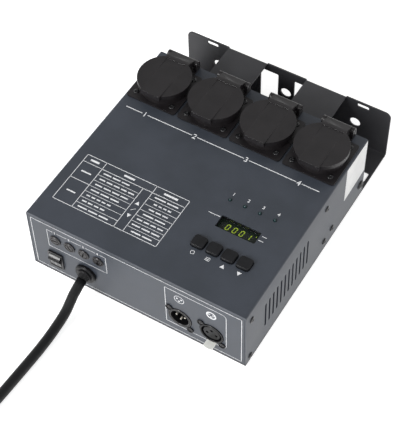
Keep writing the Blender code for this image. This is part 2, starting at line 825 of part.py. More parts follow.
def switch_rocker():
    half_x = switch_body[0] / 2 - switch_wall - fit_gap
    upper_end = arc((0, 0), rocker_reach, 180 - 38.5, 180 - 82, 7)
    lower_end = arc((0, 0), rocker_reach, 180 + 82, 180 + 38.5, 7)
    belly = [(0.4 * mm, -6.6 * mm), (1.6 * mm, -3.2 * mm), (1.6 * mm, 3.2 * mm), (0.4 * mm, 6.6 * mm)]
    outline = [(-rocker_valley, 0)] + upper_end + belly[::-1] + lower_end
    rocker = prism(outline, -half_x, half_x, "X")
    reach = switch_body[0] / 2 - 0.2 * mm
    join(rocker, rod(rocker_pin_radius, -reach, reach, 12, "X"))
    rocker.data.transform(Matrix.Rotation(math.radians(rocker_tilt), 4, "X"))
    finish_piece(rocker, "switch_rocker", black_plastic)
    rocker.location = (switch_place[0], front_y + rocker_pivot_depth, switch_place[1])
    return rocker


# Data connectors. Drawn with y = 0 on the panel's front face.

def data_shell(bore):
    outer = data_hole_radius - fit_gap
    front = -data_shell_rise
    barrel = outer - 1 * mm
    flange_front = case_sheet + rest_gap
    ring = [(bore, data_shell_depth), (bore, front + 0.4 * mm), (bore + 0.4 * mm, front)]
    ring += [(outer - 0.3 * mm, front), (outer, front + 0.3 * mm), (outer, flange_front + overlap)]
    ring += [(barrel, flange_front + overlap), (barrel, data_shell_depth)]
    shell = turned(ring, 28, "Y")
    flange_y = (flange_front, flange_front + data_flange_thick)
    flange = prism(rounded((0, 0), data_flange, 2 * mm, 2), *flange_y, "Y")
    cut(flange, rod((bore + barrel) / 2, flange_y[0] - mm, flange_y[1] + mm, 28, "Y"))
    return join(shell, flange)


def data_in():
    place = (data_in_x, front_y, data_height)
    shell = finish_piece(data_shell(data_in_bore), "data_in_shell", nickel)
    shell.location = place
    seat = data_shell_depth - 6 * mm
    insert = rod(data_in_bore - fit_gap, seat, data_shell_depth - mm, 24, "Y")
    for middle in data_pin_places:
        profile = [(0, 1 * mm), (data_pin_radius * 0.6, 1 * mm), (data_pin_radius, 2 * mm)]
        profile += [(data_pin_radius, seat + mm), (0, seat + mm)]
        join(insert, turned(profile, 10, "Y", middle))
    finish_piece(insert, "data_in_insert", black_plastic)
    insert.location = place


def data_out():
    place = (data_out_x, front_y, data_height)
    shell = data_shell(data_out_bore)
    half = tab_width / 2 + fit_gap
    slot_z = (-tab_drop - tab_thick, -data_hole_radius)
    cut(shell, box((-half, half), (0, data_shell_depth / 2), slot_z))
    finish_piece(shell, "data_out_shell", nickel)
    shell.location = place
    seat = data_shell_depth - 5 * mm
    profile = [(0, 0), (data_out_plug - 0.3 * mm, 0), (data_out_plug, 0.3 * mm), (data_out_plug, seat)]
    profile += [(data_out_bore - fit_gap, seat), (data_out_bore - fit_gap, data_shell_depth - mm)]
    profile += [(0, data_shell_depth - mm)]
    insert = turned(profile, 24, "Y")
    bm = bmesh.new()
    for x, z in data_pin_places:
        add_prism(bm, circle((x, -z), data_pin_radius + 0.2 * mm, 10), -mm, 12 * mm, "Y")
    cut(insert, mesh_object("contact_holes", bm))
    finish_piece(insert, "data_out_insert", dark_plastic)
    insert.location = place


def release_tab():
    middle = -tab_drop
    z_range = (middle - tab_thick / 2, middle + tab_thick / 2)
    corner = 2 * mm
    outline = [(tab_width / 2, 6 * mm), (-tab_width / 2, 6 * mm)]
    outline += arc((corner - tab_width / 2, corner - tab_reach), corner, 180, 270, 3)
    outline += arc((tab_width / 2 - corner, corner - tab_reach), corner, 270, 360, 3)
    tab = prism(outline, *z_range, "Z")
    finish_piece(tab, "release_tab", nickel)
    tab.location = (data_out_x, front_y, data_height)


# Display, keys and lamps

def display_window():
    x, y = window_middle[0], front_y + window_middle[1]
    rim_top = cover_under - rest_gap
    pane_top = case_height - window_recess
    tub_size = (window_face[0] + 2 * window_rim, window_face[1] + 2 * window_rim)
    tub = prism(rounded((x, y), tub_size, 1 * mm, 2), pane_top - window_thick, rim_top, "Z")
    cut(tub, prism(rounded((x, y), window_face, 0.8 * mm, 2), pane_top, rim_top + mm, "Z"))
    return finish_piece(tub, "display_window", smoked_clear)


def display_module():
    x, y = window_middle[0], front_y + window_middle[1]
    top = case_height - window_recess - window_thick - rest_gap
    half_x, half_y = display_face[0] / 2, display_face[1] / 2
    block = box((x - half_x, x + half_x), (y - half_y, y + half_y), (board_top + rest_gap, top))
    return finish_piece(block, "display_module", dark_plastic)


def push_buttons():
    rim_top = cover_under - rest_gap - 0.2 * mm
    rim_low = rim_top - 2 * mm
    top = case_height + key_rise
    shoulder = top - 0.8 * mm
    inset = (key_size[0] - 1.2 * mm, key_size[1] - 1.2 * mm)
    button = prism(rounded((0, 0), key_size, key_corner, 2), rim_top - overlap, shoulder, "Z")
    bm = bmesh.new()
    lower = rounded((0, 0), key_size, key_corner, 2)
    upper = rounded((0, 0), inset, key_corner - 0.6 * mm, 2)
    add_taper(bm, lower, shoulder - 0.01 * mm, upper, top)
    join(button, mesh_object("crown", bm))
    rim = (key_size[0] + 2 * (fit_gap + key_rim), key_size[1] + 2 * (fit_gap + key_rim))
    join(button, prism(rounded((0, 0), rim, key_corner, 1), rim_low, rim_top, "Z"))
    join(button, rod(2.2 * mm, board_top + key_switch_size[1] + key_travel + rest_gap, rim_low + overlap, 10))
    finish_piece(button, "button", black_plastic)
    button.data.transform(Matrix.Translation((0, 0, -case_height)))
    places = [(key_x(number), front_y + key_back, case_height) for number in range(key_count)]
    make_row(button, "button", places)


def add_taper(bm, lower, low, upper, high):
    below = [bm.verts.new((a, b, low)) for a, b in lower]
    above = [bm.verts.new((a, b, high)) for a, b in upper]
    faces = [bm.faces.new(below), bm.faces.new(above)]
    for index in range(len(lower)):
        after = (index + 1) % len(lower)
        faces.append(bm.faces.new((below[index], below[after], above[after], above[index])))
    bmesh.ops.recalc_face_normals(bm, faces=faces)


def channel_lamps():
    foot = board_top + rest_gap
    collar = cover_under - fit_gap - 0.6 * mm
    top = case_height + lamp_rise
    profile = [(0, foot), (lamp_radius + 1 * mm, foot), (lamp_radius + 1 * mm, collar), (lamp_radius, collar)]
    for a, b in arc((0, top - lamp_radius), lamp_radius, 0, 60, 2):
        profile.append((a, b))
    profile.append((0, top))
    lamp = turned(profile, 10)
    finish_piece(lamp, "channel_lamp", lamp_plastic)
    lamp.data.transform(Matrix.Translation((0, 0, -case_height)))
    places = [(lamp_x(number), front_y + lamp_back, case_height) for number in range(key_count)]
    make_row(lamp, "channel_lamp", places)


# Boards

def add_block(bm, middle, size, low, high):
    x, y = middle
    half_x, half_y = size[0] / 2, size[1] / 2
    add_prism(bm, rectangle(x - half_x, x + half_x, y - half_y, y + half_y), low, high, "Z")


def board_outline(middle, size):
    return rounded((middle[0], front_y + middle[1]), size, 2 * mm, 2)


def control_board():
    board = prism(board_outline(control_middle, control_size), board_top - board_thick, board_top, "Z")
    bm = bmesh.new()
    for number in range(key_count):
        x, y = key_x(number), front_y + key_back
        width, height = key_switch_size
        add_block(bm, (x, y), (width, width), board_top - overlap, board_top + height)
    chip_x, chip_y = control_middle[0], front_y + control_middle[1]
    under = board_top - board_thick
    add_block(bm, (chip_x, chip_y), controller_size, under - controller_size[2], under + overlap)
    header_middle = (chip_x + header_place[0], chip_y + header_place[1])
    add_block(bm, header_middle, header_size, under - header_size[2], under + overlap)
    join(board, mesh_object("parts_on_board", bm))
    return finish_piece(board, "control_board", board_green)


def power_board():
    top = power_top
    board = prism(board_outline(power_middle, power_size), top - board_thick, top, "Z")
    left = power_middle[0] - power_width / 2
    front = front_y + power_front
    rear = front + power_length
    bm = bmesh.new()
    width, length, height = transformer_size
    middle = (left + transformer_place[0] + width / 2, rear - transformer_place[1] - length / 2)
    add_block(bm, middle, transformer_size, top - overlap, top + height)
    for size, place in ((terminal_size, terminal_place), (relay_size, relay_place)):
        middle = (left + place[0] + size[0] / 2, front + place[1] + size[1] / 2)
        add_block(bm, middle, size, top - overlap, top + size[2])
    inner, outer, height = choke_profile
    for number in range(outlet_count):
        middle = (left + choke_place[0] + number * choke_pitch, rear - choke_place[1])
        low, high = top - overlap, top + height
        profile = [(inner, low), (outer, low), (outer, high), (inner, high)]
        add_turned(bm, profile, 14, "Z", middle)
    terminal_rear = front + terminal_place[1] + terminal_size[1]
    choke_front = rear - choke_place[1] - outer
    for along, radius, height in capacitors:
        profile = [(0, top - overlap), (radius, top - overlap), (radius, top + height), (0, top + height)]
        add_turned(bm, profile, 12, "Z", (left + along, (terminal_rear + choke_front) / 2))
    join(board, mesh_object("parts_on_board", bm))
    return finish_piece(board, "power_board", board_green)


# Heat sink and triacs

def heat_sink():
    outer = tray_half - 0.1 * mm
    low = tray_floor + rest_gap
    y = sink_y
    outline = [(outer, low), (outer, low + sink_height), (outer - sink_thick, low + sink_height)]
    outline += [(outer - sink_thick, low + sink_thick), (outer - sink_width, low + sink_thick)]
    outline += [(outer - sink_width, low)]
    sink = prism(outline, y - sink_length / 2, y + sink_length / 2, "Y")
    bm = bmesh.new()
    for number in range(4):
        x_low = outer - sink_width + number * 7 * mm
        add_prism(bm, rectangle(x_low, x_low + 2 * mm, y - sink_length / 2 + mm, y + sink_length / 2 - mm),
                  low + sink_thick - overlap, low + 11 * mm, "Z")
    join(sink, mesh_object("fins", bm))
    return finish_piece(sink, "heat_sink", aluminium)


def triacs():
    thick, width, height = triac_size
    back = tray_half - 0.1 * mm - sink_thick - rest_gap
    low = tray_floor + rest_gap + sink_thick + triac_rise
    tab = box((-1.3 * mm, 0), (-width / 2, width / 2), (0, height))
    join(tab, box((-thick, -overlap), (-width / 2, width / 2), (0, height * 0.58)))
    bm = bmesh.new()
    for number in (-1, 0, 1):
        y = number * 2.54 * mm
        add_prism(bm, rectangle(-3 * mm, -2.2 * mm, y - 0.4 * mm, y + 0.4 * mm), -4 * mm, overlap, "Z")
    join(tab, mesh_object("legs", bm))
    finish_piece(tab, "triac", dark_plastic)
    start = sink_y - 1.5 * triac_pitch
    places = [(back, start + number * triac_pitch, low) for number in range(outlet_count)]
    make_row(tab, "triac", places)


# Mains cord, its coil and its plug

def cord_bush():
    flange_front = -rest_gap - bush_flange_thick
    neck_front = flange_front - bush_neck_length
    profile = [(0, neck_front), (bush_neck_radius - 0.5 * mm, neck_front)]
    profile += [(bush_neck_radius, neck_front + 0.5 * mm)]
    profile += [(bush_neck_radius, flange_front), (bush_flange_radius - mm, flange_front)]
    profile += [(bush_flange_radius, flange_front + mm), (bush_flange_radius, -rest_gap)]
    profile += [(bush_body_radius, -rest_gap), (bush_body_radius, bush_body_length), (0, bush_body_length)]
    bush = turned(profile, 24, "Y")
    sleeve = [(0, -sleeve_length), (sleeve_tip_radius, -sleeve_length)]
    sleeve += [(sleeve_root_radius, 2.2 * mm), (0, 2.2 * mm)]
    tip = turned(sleeve, 20, "Y")
    tip.data.transform(Matrix.Rotation(math.radians(bush_droop), 4, "X"))
    tip.data.transform(Matrix.Translation((0, flange_front, 0)))
    join(bush, tip)
    finish_piece(bush, "cord_bush", black_plastic)
    bush.location = (cord_place[0], front_y, cord_place[1])
    return bush


def smooth_curve(points, spacing):
    dense = []
    for index in range(len(points) - 1):
        before = points[max(index - 1, 0)]
        first, second = points[index], points[index + 1]
        after = points[min(index + 2, len(points) - 1)]
        for step in range(40):
            t = step / 40
            dense.append(catmull(before, first, second, after, t))
    dense.append(points[-1])
    return even_points(dense, spacing)


def catmull(p0, p1, p2, p3, t):
    linear = (p2 - p0) * t
    square = (2 * p0 - 5 * p1 + 4 * p2 - p3) * t ** 2
    cube = (3 * p1 - p0 - 3 * p2 + p3) * t ** 3
    return (2 * p1 + linear + square + cube) / 2


def path_length(points):
    return sum((b - a).length for a, b in zip(points, points[1:]))


def even_points(points, spacing):
    total = path_length(points)
    count = max(2, round(total / spacing))
    goals = [total * number / count for number in range(count + 1)]
    result = []
    travelled = 0
    index = 0
    for goal in goals:
        while index < len(points) - 2 and travelled + (points[index + 1] - points[index]).length < goal:
            travelled += (points[index + 1] - points[index]).length
            index += 1
        piece = points[index + 1] - points[index]
        share = (goal - travelled) / max(piece.length, 1e-9)
        result.append(points[index] + piece * min(share, 1))
    return result


def exit_direction():
    droop = math.radians(bush_droop)
    return Vector((0, -math.cos(droop), -math.sin(droop)))


def cord_start():
    root = Vector((cord_place[0], front_y - rest_gap - bush_flange_thick, cord_place[1]))
    return root + exit_direction() * (sleeve_length + rest_gap)


def coil_point(turn):
    inner = coil_mean_radius - coil_spacing * coil_turns / 4
    middle = coil_turns / 2
    radius = inner + coil_spacing * abs(turn - middle)
    climb = min(max((turn - middle) / 0.5 + 0.5, 0), 1)
    lift = climb * climb * (3 - 2 * climb)
    angle = -2 * math.pi * turn
    x = coil_place[0] + radius * math.cos(angle)
    y = coil_place[1] + radius * math.sin(angle)
    return Vector((x, y, cord_diameter / 2 + coil_spacing * lift))


# The route is picked by hand as (sideways, in front of the panel, height of the centre).

def cord_route():
    floor = cord_diameter / 2
    picked = ((0.4, 19, 17.3), (0.7, 26, 13.8), (0.8, 33.5, 10.5), (0.9, 43, 7.6), (1, 56, 5.6),
              (1, 72, 4.65), (0.6, 86, 4.65), (-0.2, 103, 4.65), (-1.2, 123, 4.65), (-2.6, 145, 4.65),
              (-4.3, 167, 4.65))
    start = cord_start()
    joint = coil_start()
    points = [start, start + exit_direction() * 4 * mm]
    for side, ahead, height in picked:
        points.append(Vector((cord_place[0] + side * mm, front_y - ahead * mm, max(height * mm, floor))))
    points += [joint + Vector((0.9 * mm, 40 * mm, 0)), joint + Vector((0.1 * mm, 20 * mm, 0))]
    points += [joint + Vector((0, cord_diameter, 0)), joint + Vector((0, rest_gap, 0))]
    return points


def plug_axis_height():
    return plug_face_radius + 0.1 * mm


def coil_start():
    return coil_point(0) + Vector((0, cord_diameter, 0))


def coil_end():
    last = coil_point(coil_turns)
    return Vector((last.x, last.y + plug_tail, plug_axis_height()))


def coil_centreline():
    points = [coil_start()]
    steps = round(coil_turns * coil_points)
    for step in range(steps + 1):
        points.append(coil_point(coil_turns * step / steps))
    last = points[-1]
    end = coil_end()
    for share in (0.3, 0.6):
        ease = share * share * (3 - 2 * share)
        points.append(Vector((last.x, last.y + plug_tail * share, last.z + (end.z - last.z) * ease)))
    points.append(end - Vector((0, cord_diameter, 0)))
    points.append(end)
    return points


def tube(name, points, resolution):
    curve = bpy.data.curves.new(name, "CURVE")
    curve.dimensions = "3D"
    curve.bevel_depth = cord_diameter / 2
    curve.bevel_resolution = resolution
    curve.use_fill_caps = True
    spline = curve.splines.new("POLY")
    spline.points.add(len(points) - 1)
    for knot, point in zip(spline.points, points):
        knot.co = (*point, 1)
    curve.materials.append(black_rubber)
    item = bpy.data.objects.new(name, curve)
    bpy.context.scene.collection.objects.link(item)
    return item


def least_self_gap(points):
    dense = []
    for a, b in zip(points, points[1:]):
        for step in range(4):
            dense.append(a + (b - a) * step / 4)
    least = 1.0
    skip = 3 * cord_diameter
    along = [0]
    for a, b in zip(dense, dense[1:]):
        along.append(along[-1] + (b - a).length)
    for first in range(len(dense)):
        for second in range(first + 1, len(dense)):
            if along[second] - along[first] > skip:
                least = min(least, (dense[second] - dense[first]).length)
    return least - cord_diameter


def mains_cord():
    route = smooth_curve(cord_route(), 1.6 * cord_diameter)
    route[1] = route[0] + exit_direction() * (route[1] - route[0]).length
    route[-2] = route[-1] + Vector((0, (route[-2] - route[-1]).length, 0))
    tube("mains_cord", route, 3)
    wound = coil_centreline()
    tube("cord_coil", wound, 1)
    length = path_length(route) + path_length(wound)
    print(f"cord length {length:.3f} m, least gap of the coil to itself {least_self_gap(wound) / mm:.2f} mm")


def mains_plug():
    end = coil_end()
    start = rest_gap
    profile = [(0, start), (plug_neck_radius, start), (plug_neck_radius * 1.15, start + 16 * mm)]
    profile += [(plug_face_radius * 0.72, start + 21 * mm), (plug_face_radius, start + 33 * mm)]
    profile += [(plug_face_radius, start + plug_length), (0, start + plug_length)]
    plug = turned(profile, 20, "Y")
    for side in (-1, 1):
        middle = (side * plug_pin_spacing / 2, 0)
        base = start + plug_length - mm
        tip = start + plug_length + plug_pin_length
        pin = [(0, base), (plug_pin_radius, base), (plug_pin_radius, tip - 1.5 * mm)]
        pin += [(1.2 * mm, tip), (0, tip)]
        join(plug, turned(pin, 12, "Y", middle))
        groove = box((-3 * mm, 3 * mm), (start + 34 * mm, start + plug_length + mm),
                     sorted((side * (plug_face_radius - 1.6 * mm), side * (plug_face_radius + mm))))
        cut(plug, groove)
    finish_piece(plug, "mains_plug", black_rubber)
    plug.location = end
    return plug


clear_scene()
black_coat = make_material("black powder coat", (0.028, 0.028, 0.030), 0.45)
grey_coat = make_material("grey powder coat", (0.075, 0.082, 0.096), 0.5)
black_plastic = make_material("black plastic", (0.024, 0.022, 0.023), 0.5)
dark_plastic = make_material("dark plastic", (0.06, 0.06, 0.065), 0.5)
black_rubber = make_material("black rubber", (0.015, 0.015, 0.015), 0.6)
zinc = make_material("zinc plated steel", (0.55, 0.56, 0.58), 0.4, 1.0)
steel = make_material("steel", (0.5, 0.5, 0.5), 0.3, 1.0)
nickel = make_material("nickel", (0.6, 0.58, 0.54), 0.3, 1.0)
brass = make_material("brass", (0.75, 0.6, 0.3), 0.35, 1.0)
aluminium = make_material("aluminium", (0.7, 0.7, 0.72), 0.4, 1.0)
board_green = make_material("board green", (0.02, 0.12, 0.05), 0.5)
glass_clear = make_material("fuse glass", (0.7, 0.75, 0.75), 0.1)
smoked_clear = make_material("smoked window", (0.01, 0.02, 0.01), 0.15)
lamp_plastic = make_material("lamp plastic", (0.05, 0.09, 0.05), 0.3)

mounting_bracket()
chassis_tray()
top_cover()
divider_plate()
socket_bodies()
earth_straps()
socket_lids()
lid_pins()
fuse_holders()
fuse_caps()
fuse_links()
switch_housing()
switch_rocker()
data_in()
data_out()
release_tab()
display_window()
display_module()
push_buttons()
channel_lamps()
control_board()
power_board()
heat_sink()
triacs()
cord_bush()
mains_cord()
mains_plug()
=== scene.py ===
import json
import math

import bmesh
import bpy
from mathutils import Matrix, Vector

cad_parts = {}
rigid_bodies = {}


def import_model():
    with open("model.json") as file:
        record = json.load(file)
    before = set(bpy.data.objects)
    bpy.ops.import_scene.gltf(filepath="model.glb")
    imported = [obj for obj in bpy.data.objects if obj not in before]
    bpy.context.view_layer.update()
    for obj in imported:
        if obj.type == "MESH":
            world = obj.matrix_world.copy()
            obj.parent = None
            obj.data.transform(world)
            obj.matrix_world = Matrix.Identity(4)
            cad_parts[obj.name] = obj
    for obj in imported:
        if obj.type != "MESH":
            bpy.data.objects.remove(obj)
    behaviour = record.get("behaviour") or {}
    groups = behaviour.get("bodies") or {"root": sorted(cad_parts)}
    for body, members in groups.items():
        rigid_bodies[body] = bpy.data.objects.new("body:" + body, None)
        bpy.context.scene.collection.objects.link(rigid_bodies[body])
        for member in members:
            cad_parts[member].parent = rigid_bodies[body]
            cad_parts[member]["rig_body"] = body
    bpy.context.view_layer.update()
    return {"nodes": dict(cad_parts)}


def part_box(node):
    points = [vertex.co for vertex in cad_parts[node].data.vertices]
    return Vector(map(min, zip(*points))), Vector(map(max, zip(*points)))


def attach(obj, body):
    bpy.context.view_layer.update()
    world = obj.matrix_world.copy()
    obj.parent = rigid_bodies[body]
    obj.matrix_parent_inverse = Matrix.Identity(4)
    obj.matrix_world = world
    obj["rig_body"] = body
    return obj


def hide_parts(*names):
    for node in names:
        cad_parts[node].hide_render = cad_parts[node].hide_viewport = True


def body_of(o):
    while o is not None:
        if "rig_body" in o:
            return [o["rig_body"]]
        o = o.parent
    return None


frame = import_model()
nodes = frame["nodes"]
mm = 0.001
channels = (1, 2, 3, 4)

# lengths in the dictionaries are millimetres in the part's own frame


# small helpers


def toLinear(hexColour):  # sRGB hex to the linear values that Blender mixes
    values = []
    for start in (1, 3, 5):
        part = int(hexColour[start:start + 2], 16) / 255
        values.append(part / 12.92 if part <= 0.04045 else ((part + 0.055) / 1.055) ** 2.4)
    return (*values, 1)


def addNode(tree, kind, values=None, links=None, **settings):
    node = tree.nodes.new(kind)
    for name, value in settings.items():
        setattr(node, name, value)
    for socket, value in (values or {}).items():
        node.inputs[socket].default_value = value
    for socket, source in (links or {}).items():
        tree.links.new(source, node.inputs[socket])
    return node


def newObject(name, mesh):
    item = bpy.data.objects.new(name, mesh)
    bpy.context.scene.collection.objects.link(item)
    return item


def applyModifiers(item):
    graph = bpy.context.evaluated_depsgraph_get()
    graph.update()
    solved = item.evaluated_get(graph)
    mesh = bpy.data.meshes.new_from_object(solved, preserve_all_data_layers=True, depsgraph=graph)
    item.modifiers.clear()
    item.data = mesh


def sharpen(bm, angle):  # smooth faces, with sharp edges where the surface really turns
    limit = math.radians(angle)
    for face in bm.faces:
        face.smooth = True
    for edge in bm.edges:
        edge.smooth = not (len(edge.link_faces) == 2 and edge.calc_face_angle(0) > limit)


def toMesh(name, bm, coat, angle=35):
    sharpen(bm, angle)
    mesh = bpy.data.meshes.new(name)
    bm.to_mesh(mesh)
    bm.free()
    item = newObject(name, mesh)
    for entry in [coat] if isinstance(coat, str) else coat:
        mesh.materials.append(coats[entry])
    return item


def softenEdges(item, width, rings=2, angle=30, rim=-1):
    bevel = item.modifiers.new("edges", "BEVEL")
    bevel.width = width * mm
    bevel.segments = rings
    bevel.limit_method = "ANGLE"
    bevel.angle_limit = math.radians(angle)
    bevel.harden_normals = True
    bevel.material = rim
    applyModifiers(item)


def seat(item, body, slotName, *replaced):
    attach(item, body)
    if replaced:
        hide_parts(*replaced)
    return item


def bodyOf(nodeName):
    return body_of(nodes[nodeName])[0]


# A merged copy of a solid with fine round edges. Zones choose a second material by a face's middle,
# and the rim is the material of the round edges.

def finishedCopy(nodeName, coat, slotName, edge=0.3, rings=2, angle=30, zone=None, rim=-1):
    bm = bmesh.new()
    bm.from_mesh(nodes[nodeName].data)
    bmesh.ops.remove_doubles(bm, verts=bm.verts, dist=0.01 * mm)
    bmesh.ops.dissolve_limit(bm, angle_limit=math.radians(0.6), verts=bm.verts, edges=bm.edges)
    if zone:
        bm.normal_update()
        for face in bm.faces:
            face.material_index = zone(face.calc_center_median() / mm, face.normal)
    item = toMesh(f"{nodeName}_finished", bm, coat)
    if edge:
        softenEdges(item, edge, rings, angle, rim)
    return seat(item, bodyOf(nodeName), slotName, nodeName)


turnTo = {
    "X": Matrix.Rotation(math.radians(90), 4, "Y"),
    "Y": Matrix.Rotation(math.radians(-90), 4, "X"),
    "Z": Matrix(),
}


def addTurned(bm, profile, sides, axis="Z", middle=(0, 0, 0)):
    place = Matrix.Translation(Vector(middle) * mm) @ turnTo[axis]
    rings = []
    for radius, along in profile:
        ring = []
        for index in range(sides if radius > 0 else 1):
            a = 2 * math.pi * index / sides
            point = Vector((radius * math.cos(a) * mm, radius * math.sin(a) * mm, along * mm))
            ring.append(bm.verts.new(place @ point))
        rings.append(ring)
    pairs = list(zip(rings, rings[1:]))
    if profile[0][0] > 0:
        pairs.append((rings[-1], rings[0]))
    made = []
    for first, second in pairs:
        for index in range(sides):
            after = index + 1
            corners = [first[index % len(first)], first[after % len(first)]]
            corners += [second[after % len(second)], second[index % len(second)]]
            made.append(bm.faces.new(list(dict.fromkeys(corners))))
    bmesh.ops.recalc_face_normals(bm, faces=made)


def closeWalls(bm, lower, upper):  # caps two outlines and joins them all round
    made = [bm.faces.new(lower), bm.faces.new(upper)]
    for index in range(len(lower)):
        after = (index + 1) % len(lower)
        made.append(bm.faces.new((lower[index], lower[after], upper[after], upper[index])))
    bmesh.ops.recalc_face_normals(bm, faces=made)


def addPrism(bm, outline, low, high):
    lower = [bm.verts.new(Vector((a, b, low)) * mm) for a, b in outline]
    upper = [bm.verts.new(Vector((a, b, high)) * mm) for a, b in outline]
    closeWalls(bm, lower, upper)


def rectangle(x0, x1, y0, y1):
    return [(x0, y0), (x1, y0), (x1, y1), (x0, y1)]


def roundedRectangle(middle, size, corner, steps=4):
    points = []
    for signA, signB, start in ((1, 1, 0), (-1, 1, 90), (-1, -1, 180), (1, -1, 270)):
        a = middle[0] + signA * (size[0] / 2 - corner)
        b = middle[1] + signB * (size[1] / 2 - corner)
        for step in range(steps + 1):
            angle = math.radians(start + 90 * step / steps)
            points.append((a + corner * math.cos(angle), b + corner * math.sin(angle)))
    return points


# A round tube along points in metres. Its map runs round the tube and along it, in metres.

def tubeMesh(points, radius, sides):
    bm = bmesh.new()
    uv = bm.loops.layers.uv.new("along")
    last = len(points) - 1
    tangents = []
    for index in range(len(points)):
        before, after = points[max(index - 1, 0)], points[min(index + 1, last)]
        tangents.append((after - before).normalized())
    side = tangents[0].orthogonal().normalized()
    rings, travelled = [], [0]
    for index, point in enumerate(points):
        if index:
            side = tangents[index - 1].rotation_difference(tangents[index]) @ side
            travelled.append(travelled[-1] + (point - points[index - 1]).length)
        other = tangents[index].cross(side)
        ring = []
        for step in range(sides):
            angle = 2 * math.pi * step / sides
            ring.append(bm.verts.new(point + radius * (side * math.cos(angle) + other * math.sin(angle))))
        rings.append(ring)
    for index in range(last):
        first, second = rings[index], rings[index + 1]
        v0, v1 = travelled[index], travelled[index + 1]
        for step in range(sides):
            after = (step + 1) % sides
            face = bm.faces.new((first[step], first[after], second[after], second[step]))
            u0, u1 = step / sides, (step + 1) / sides
            for loop, place in zip(face.loops, ((u0, v0), (u1, v0), (u1, v1), (u0, v1))):
                loop[uv].uv = (place[0] * 2 * math.pi * radius, place[1])
    bm.faces.new(rings[0][::-1])
    bm.faces.new(rings[-1])
    return bm


# camera

cameraView = {
    "eye": (0.39894, -0.65910, 1.00576),
    "right": (0.860226, 0.509765, -0.012292),
    "up": (-0.400100, 0.689720, 0.603495),
    "back": (0.316119, -0.514224, 0.797272),
    "lens": 113.94,
    "clip": (0.02, 60),
}


def placeCamera():
    data = bpy.data.cameras.new("camera")
    data.lens = cameraView["lens"]
    data.clip_start, data.clip_end = cameraView["clip"]
    camera = newObject("camera", data)
    axes = Matrix((cameraView["right"], cameraView["up"], cameraView["back"])).transposed()
    camera.matrix_world = Matrix.Translation(cameraView["eye"]) @ axes.to_4x4()
    bpy.context.scene.camera = camera


placeCamera()
print("camera placed")


# materials

coats = {}


def startMaterial(name, colour, roughness=0.5, metallic=0.0, ior=1.5, **sockets):
    material = bpy.data.materials.new(name)
    material.use_nodes = True
    tree = material.node_tree
    shader = tree.nodes["Principled BSDF"]
    shader.inputs["Base Color"].default_value = toLinear(colour)
    shader.inputs["Roughness"].default_value = roughness
    shader.inputs["Metallic"].default_value = metallic
    shader.inputs["IOR"].default_value = ior
    for socket, value in sockets.items():
        shader.inputs[socket].default_value = value
    material.diffuse_color = toLinear(colour)
    coats[name] = material
    return tree, shader


def addNoise(tree, place, scale, detail):
    noise = addNode(tree, "ShaderNodeTexNoise", {"Scale": scale, "Detail": detail}, {"Vector": place})
    return noise.outputs["Fac"]


def addRamp(tree, source, colours, stops=(0, 1)):
    ramp = addNode(tree, "ShaderNodeValToRGB", links={"Fac": source})
    for element, stop, colour in zip(ramp.color_ramp.elements, stops, colours):
        element.position = stop
        element.color = colour
    return ramp.outputs["Color"]


def setTones(tree, shader, source, tones, stops=(0, 1)):
    colour = addRamp(tree, source, [toLinear(tone) for tone in tones], stops)
    tree.links.new(colour, shader.inputs["Base Color"])


def addBump(tree, shader, source, strength, height):
    values = {"Strength": strength, "Distance": height * mm}
    bump = addNode(tree, "ShaderNodeBump", values, {"Height": source})
    tree.links.new(bump.outputs["Normal"], shader.inputs["Normal"])


# Colour that drifts between two tones, roughness that drifts with it, and a bump of a real grain size.

def grainCoat(name, colour, roughness, tones, grain, height, patches, gloss, **more):
    tree, shader = startMaterial(name, colour, roughness, **more)
    place = addNode(tree, "ShaderNodeTexCoord").outputs["Object"]
    patch = addNoise(tree, place, 1000 / patches, 4.0)
    setTones(tree, shader, patch, tones, (0.35, 0.65))
    rough = addNode(tree, "ShaderNodeMapRange", {"To Min": gloss[0], "To Max": gloss[1]}, {"Value": patch})
    tree.links.new(rough.outputs["Result"], shader.inputs["Roughness"])
    addBump(tree, shader, addNoise(tree, place, 1000 / grain, 3.0), 0.6, height)


def bandedCoat(name, colour, roughness, metallic, tones, scale, distortion, direction):
    tree, shader = startMaterial(name, colour, roughness, metallic)
    place = addNode(tree, "ShaderNodeTexCoord")
    bands = addNode(tree, "ShaderNodeTexWave", {"Scale": scale, "Distortion": distortion},
                    {"Vector": place.outputs["Object"]}, bands_direction=direction)
    setTones(tree, shader, bands.outputs["Fac"], tones)


# powder-coated steel sheet: baked polyester powder, satin, with a soft orange peel about a millimetre wide
grainCoat("powderCoatGrey", "#393E46", 0.42, ("#363B43", "#3C414A"), 1.3, 0.05, 30, (0.36, 0.46))

# the same coating in black on the bracket, a little flatter
grainCoat("powderCoatBlack", "#343437", 0.5, ("#303033", "#38383B"), 1.3, 0.06, 30, (0.42, 0.55))

# glass-filled polyamide, injection moulded in a spark-eroded mould: a fine even grain that kills the gloss
grainCoat("mouldedPolyamide", "#191618", 0.4, ("#161315", "#1D1A1C"), 0.7, 0.04, 14, (0.34, 0.46))

# plain polyamide with carbon black, spark-eroded finish: the data connectors and the bush swallow most light
grainCoat("mattNylon", "#0E0E10", 0.36, ("#0C0C0E", "#131315"), 0.6, 0.03, 8, (0.3, 0.44),
          **{"Specular IOR Level": 0.22})

# ABS moulded in a polished mould: black with clear highlights and faint flow marks
grainCoat("glossyAbs", "#101012", 0.24, ("#0E0E10", "#141416"), 2.5, 0.012, 12, (0.18, 0.3))

# the round edges of the moulded blacks: a shade lighter than the blacks they edge, a painted highlight, and
# glossier with a stronger mirror so edges glint
grainCoat("paintedHighlightEdge", "#1C191B", 0.22, ("#181517", "#201D1F"), 0.7, 0.01, 8, (0.17, 0.27),
          **{"Specular IOR Level": 0.75})

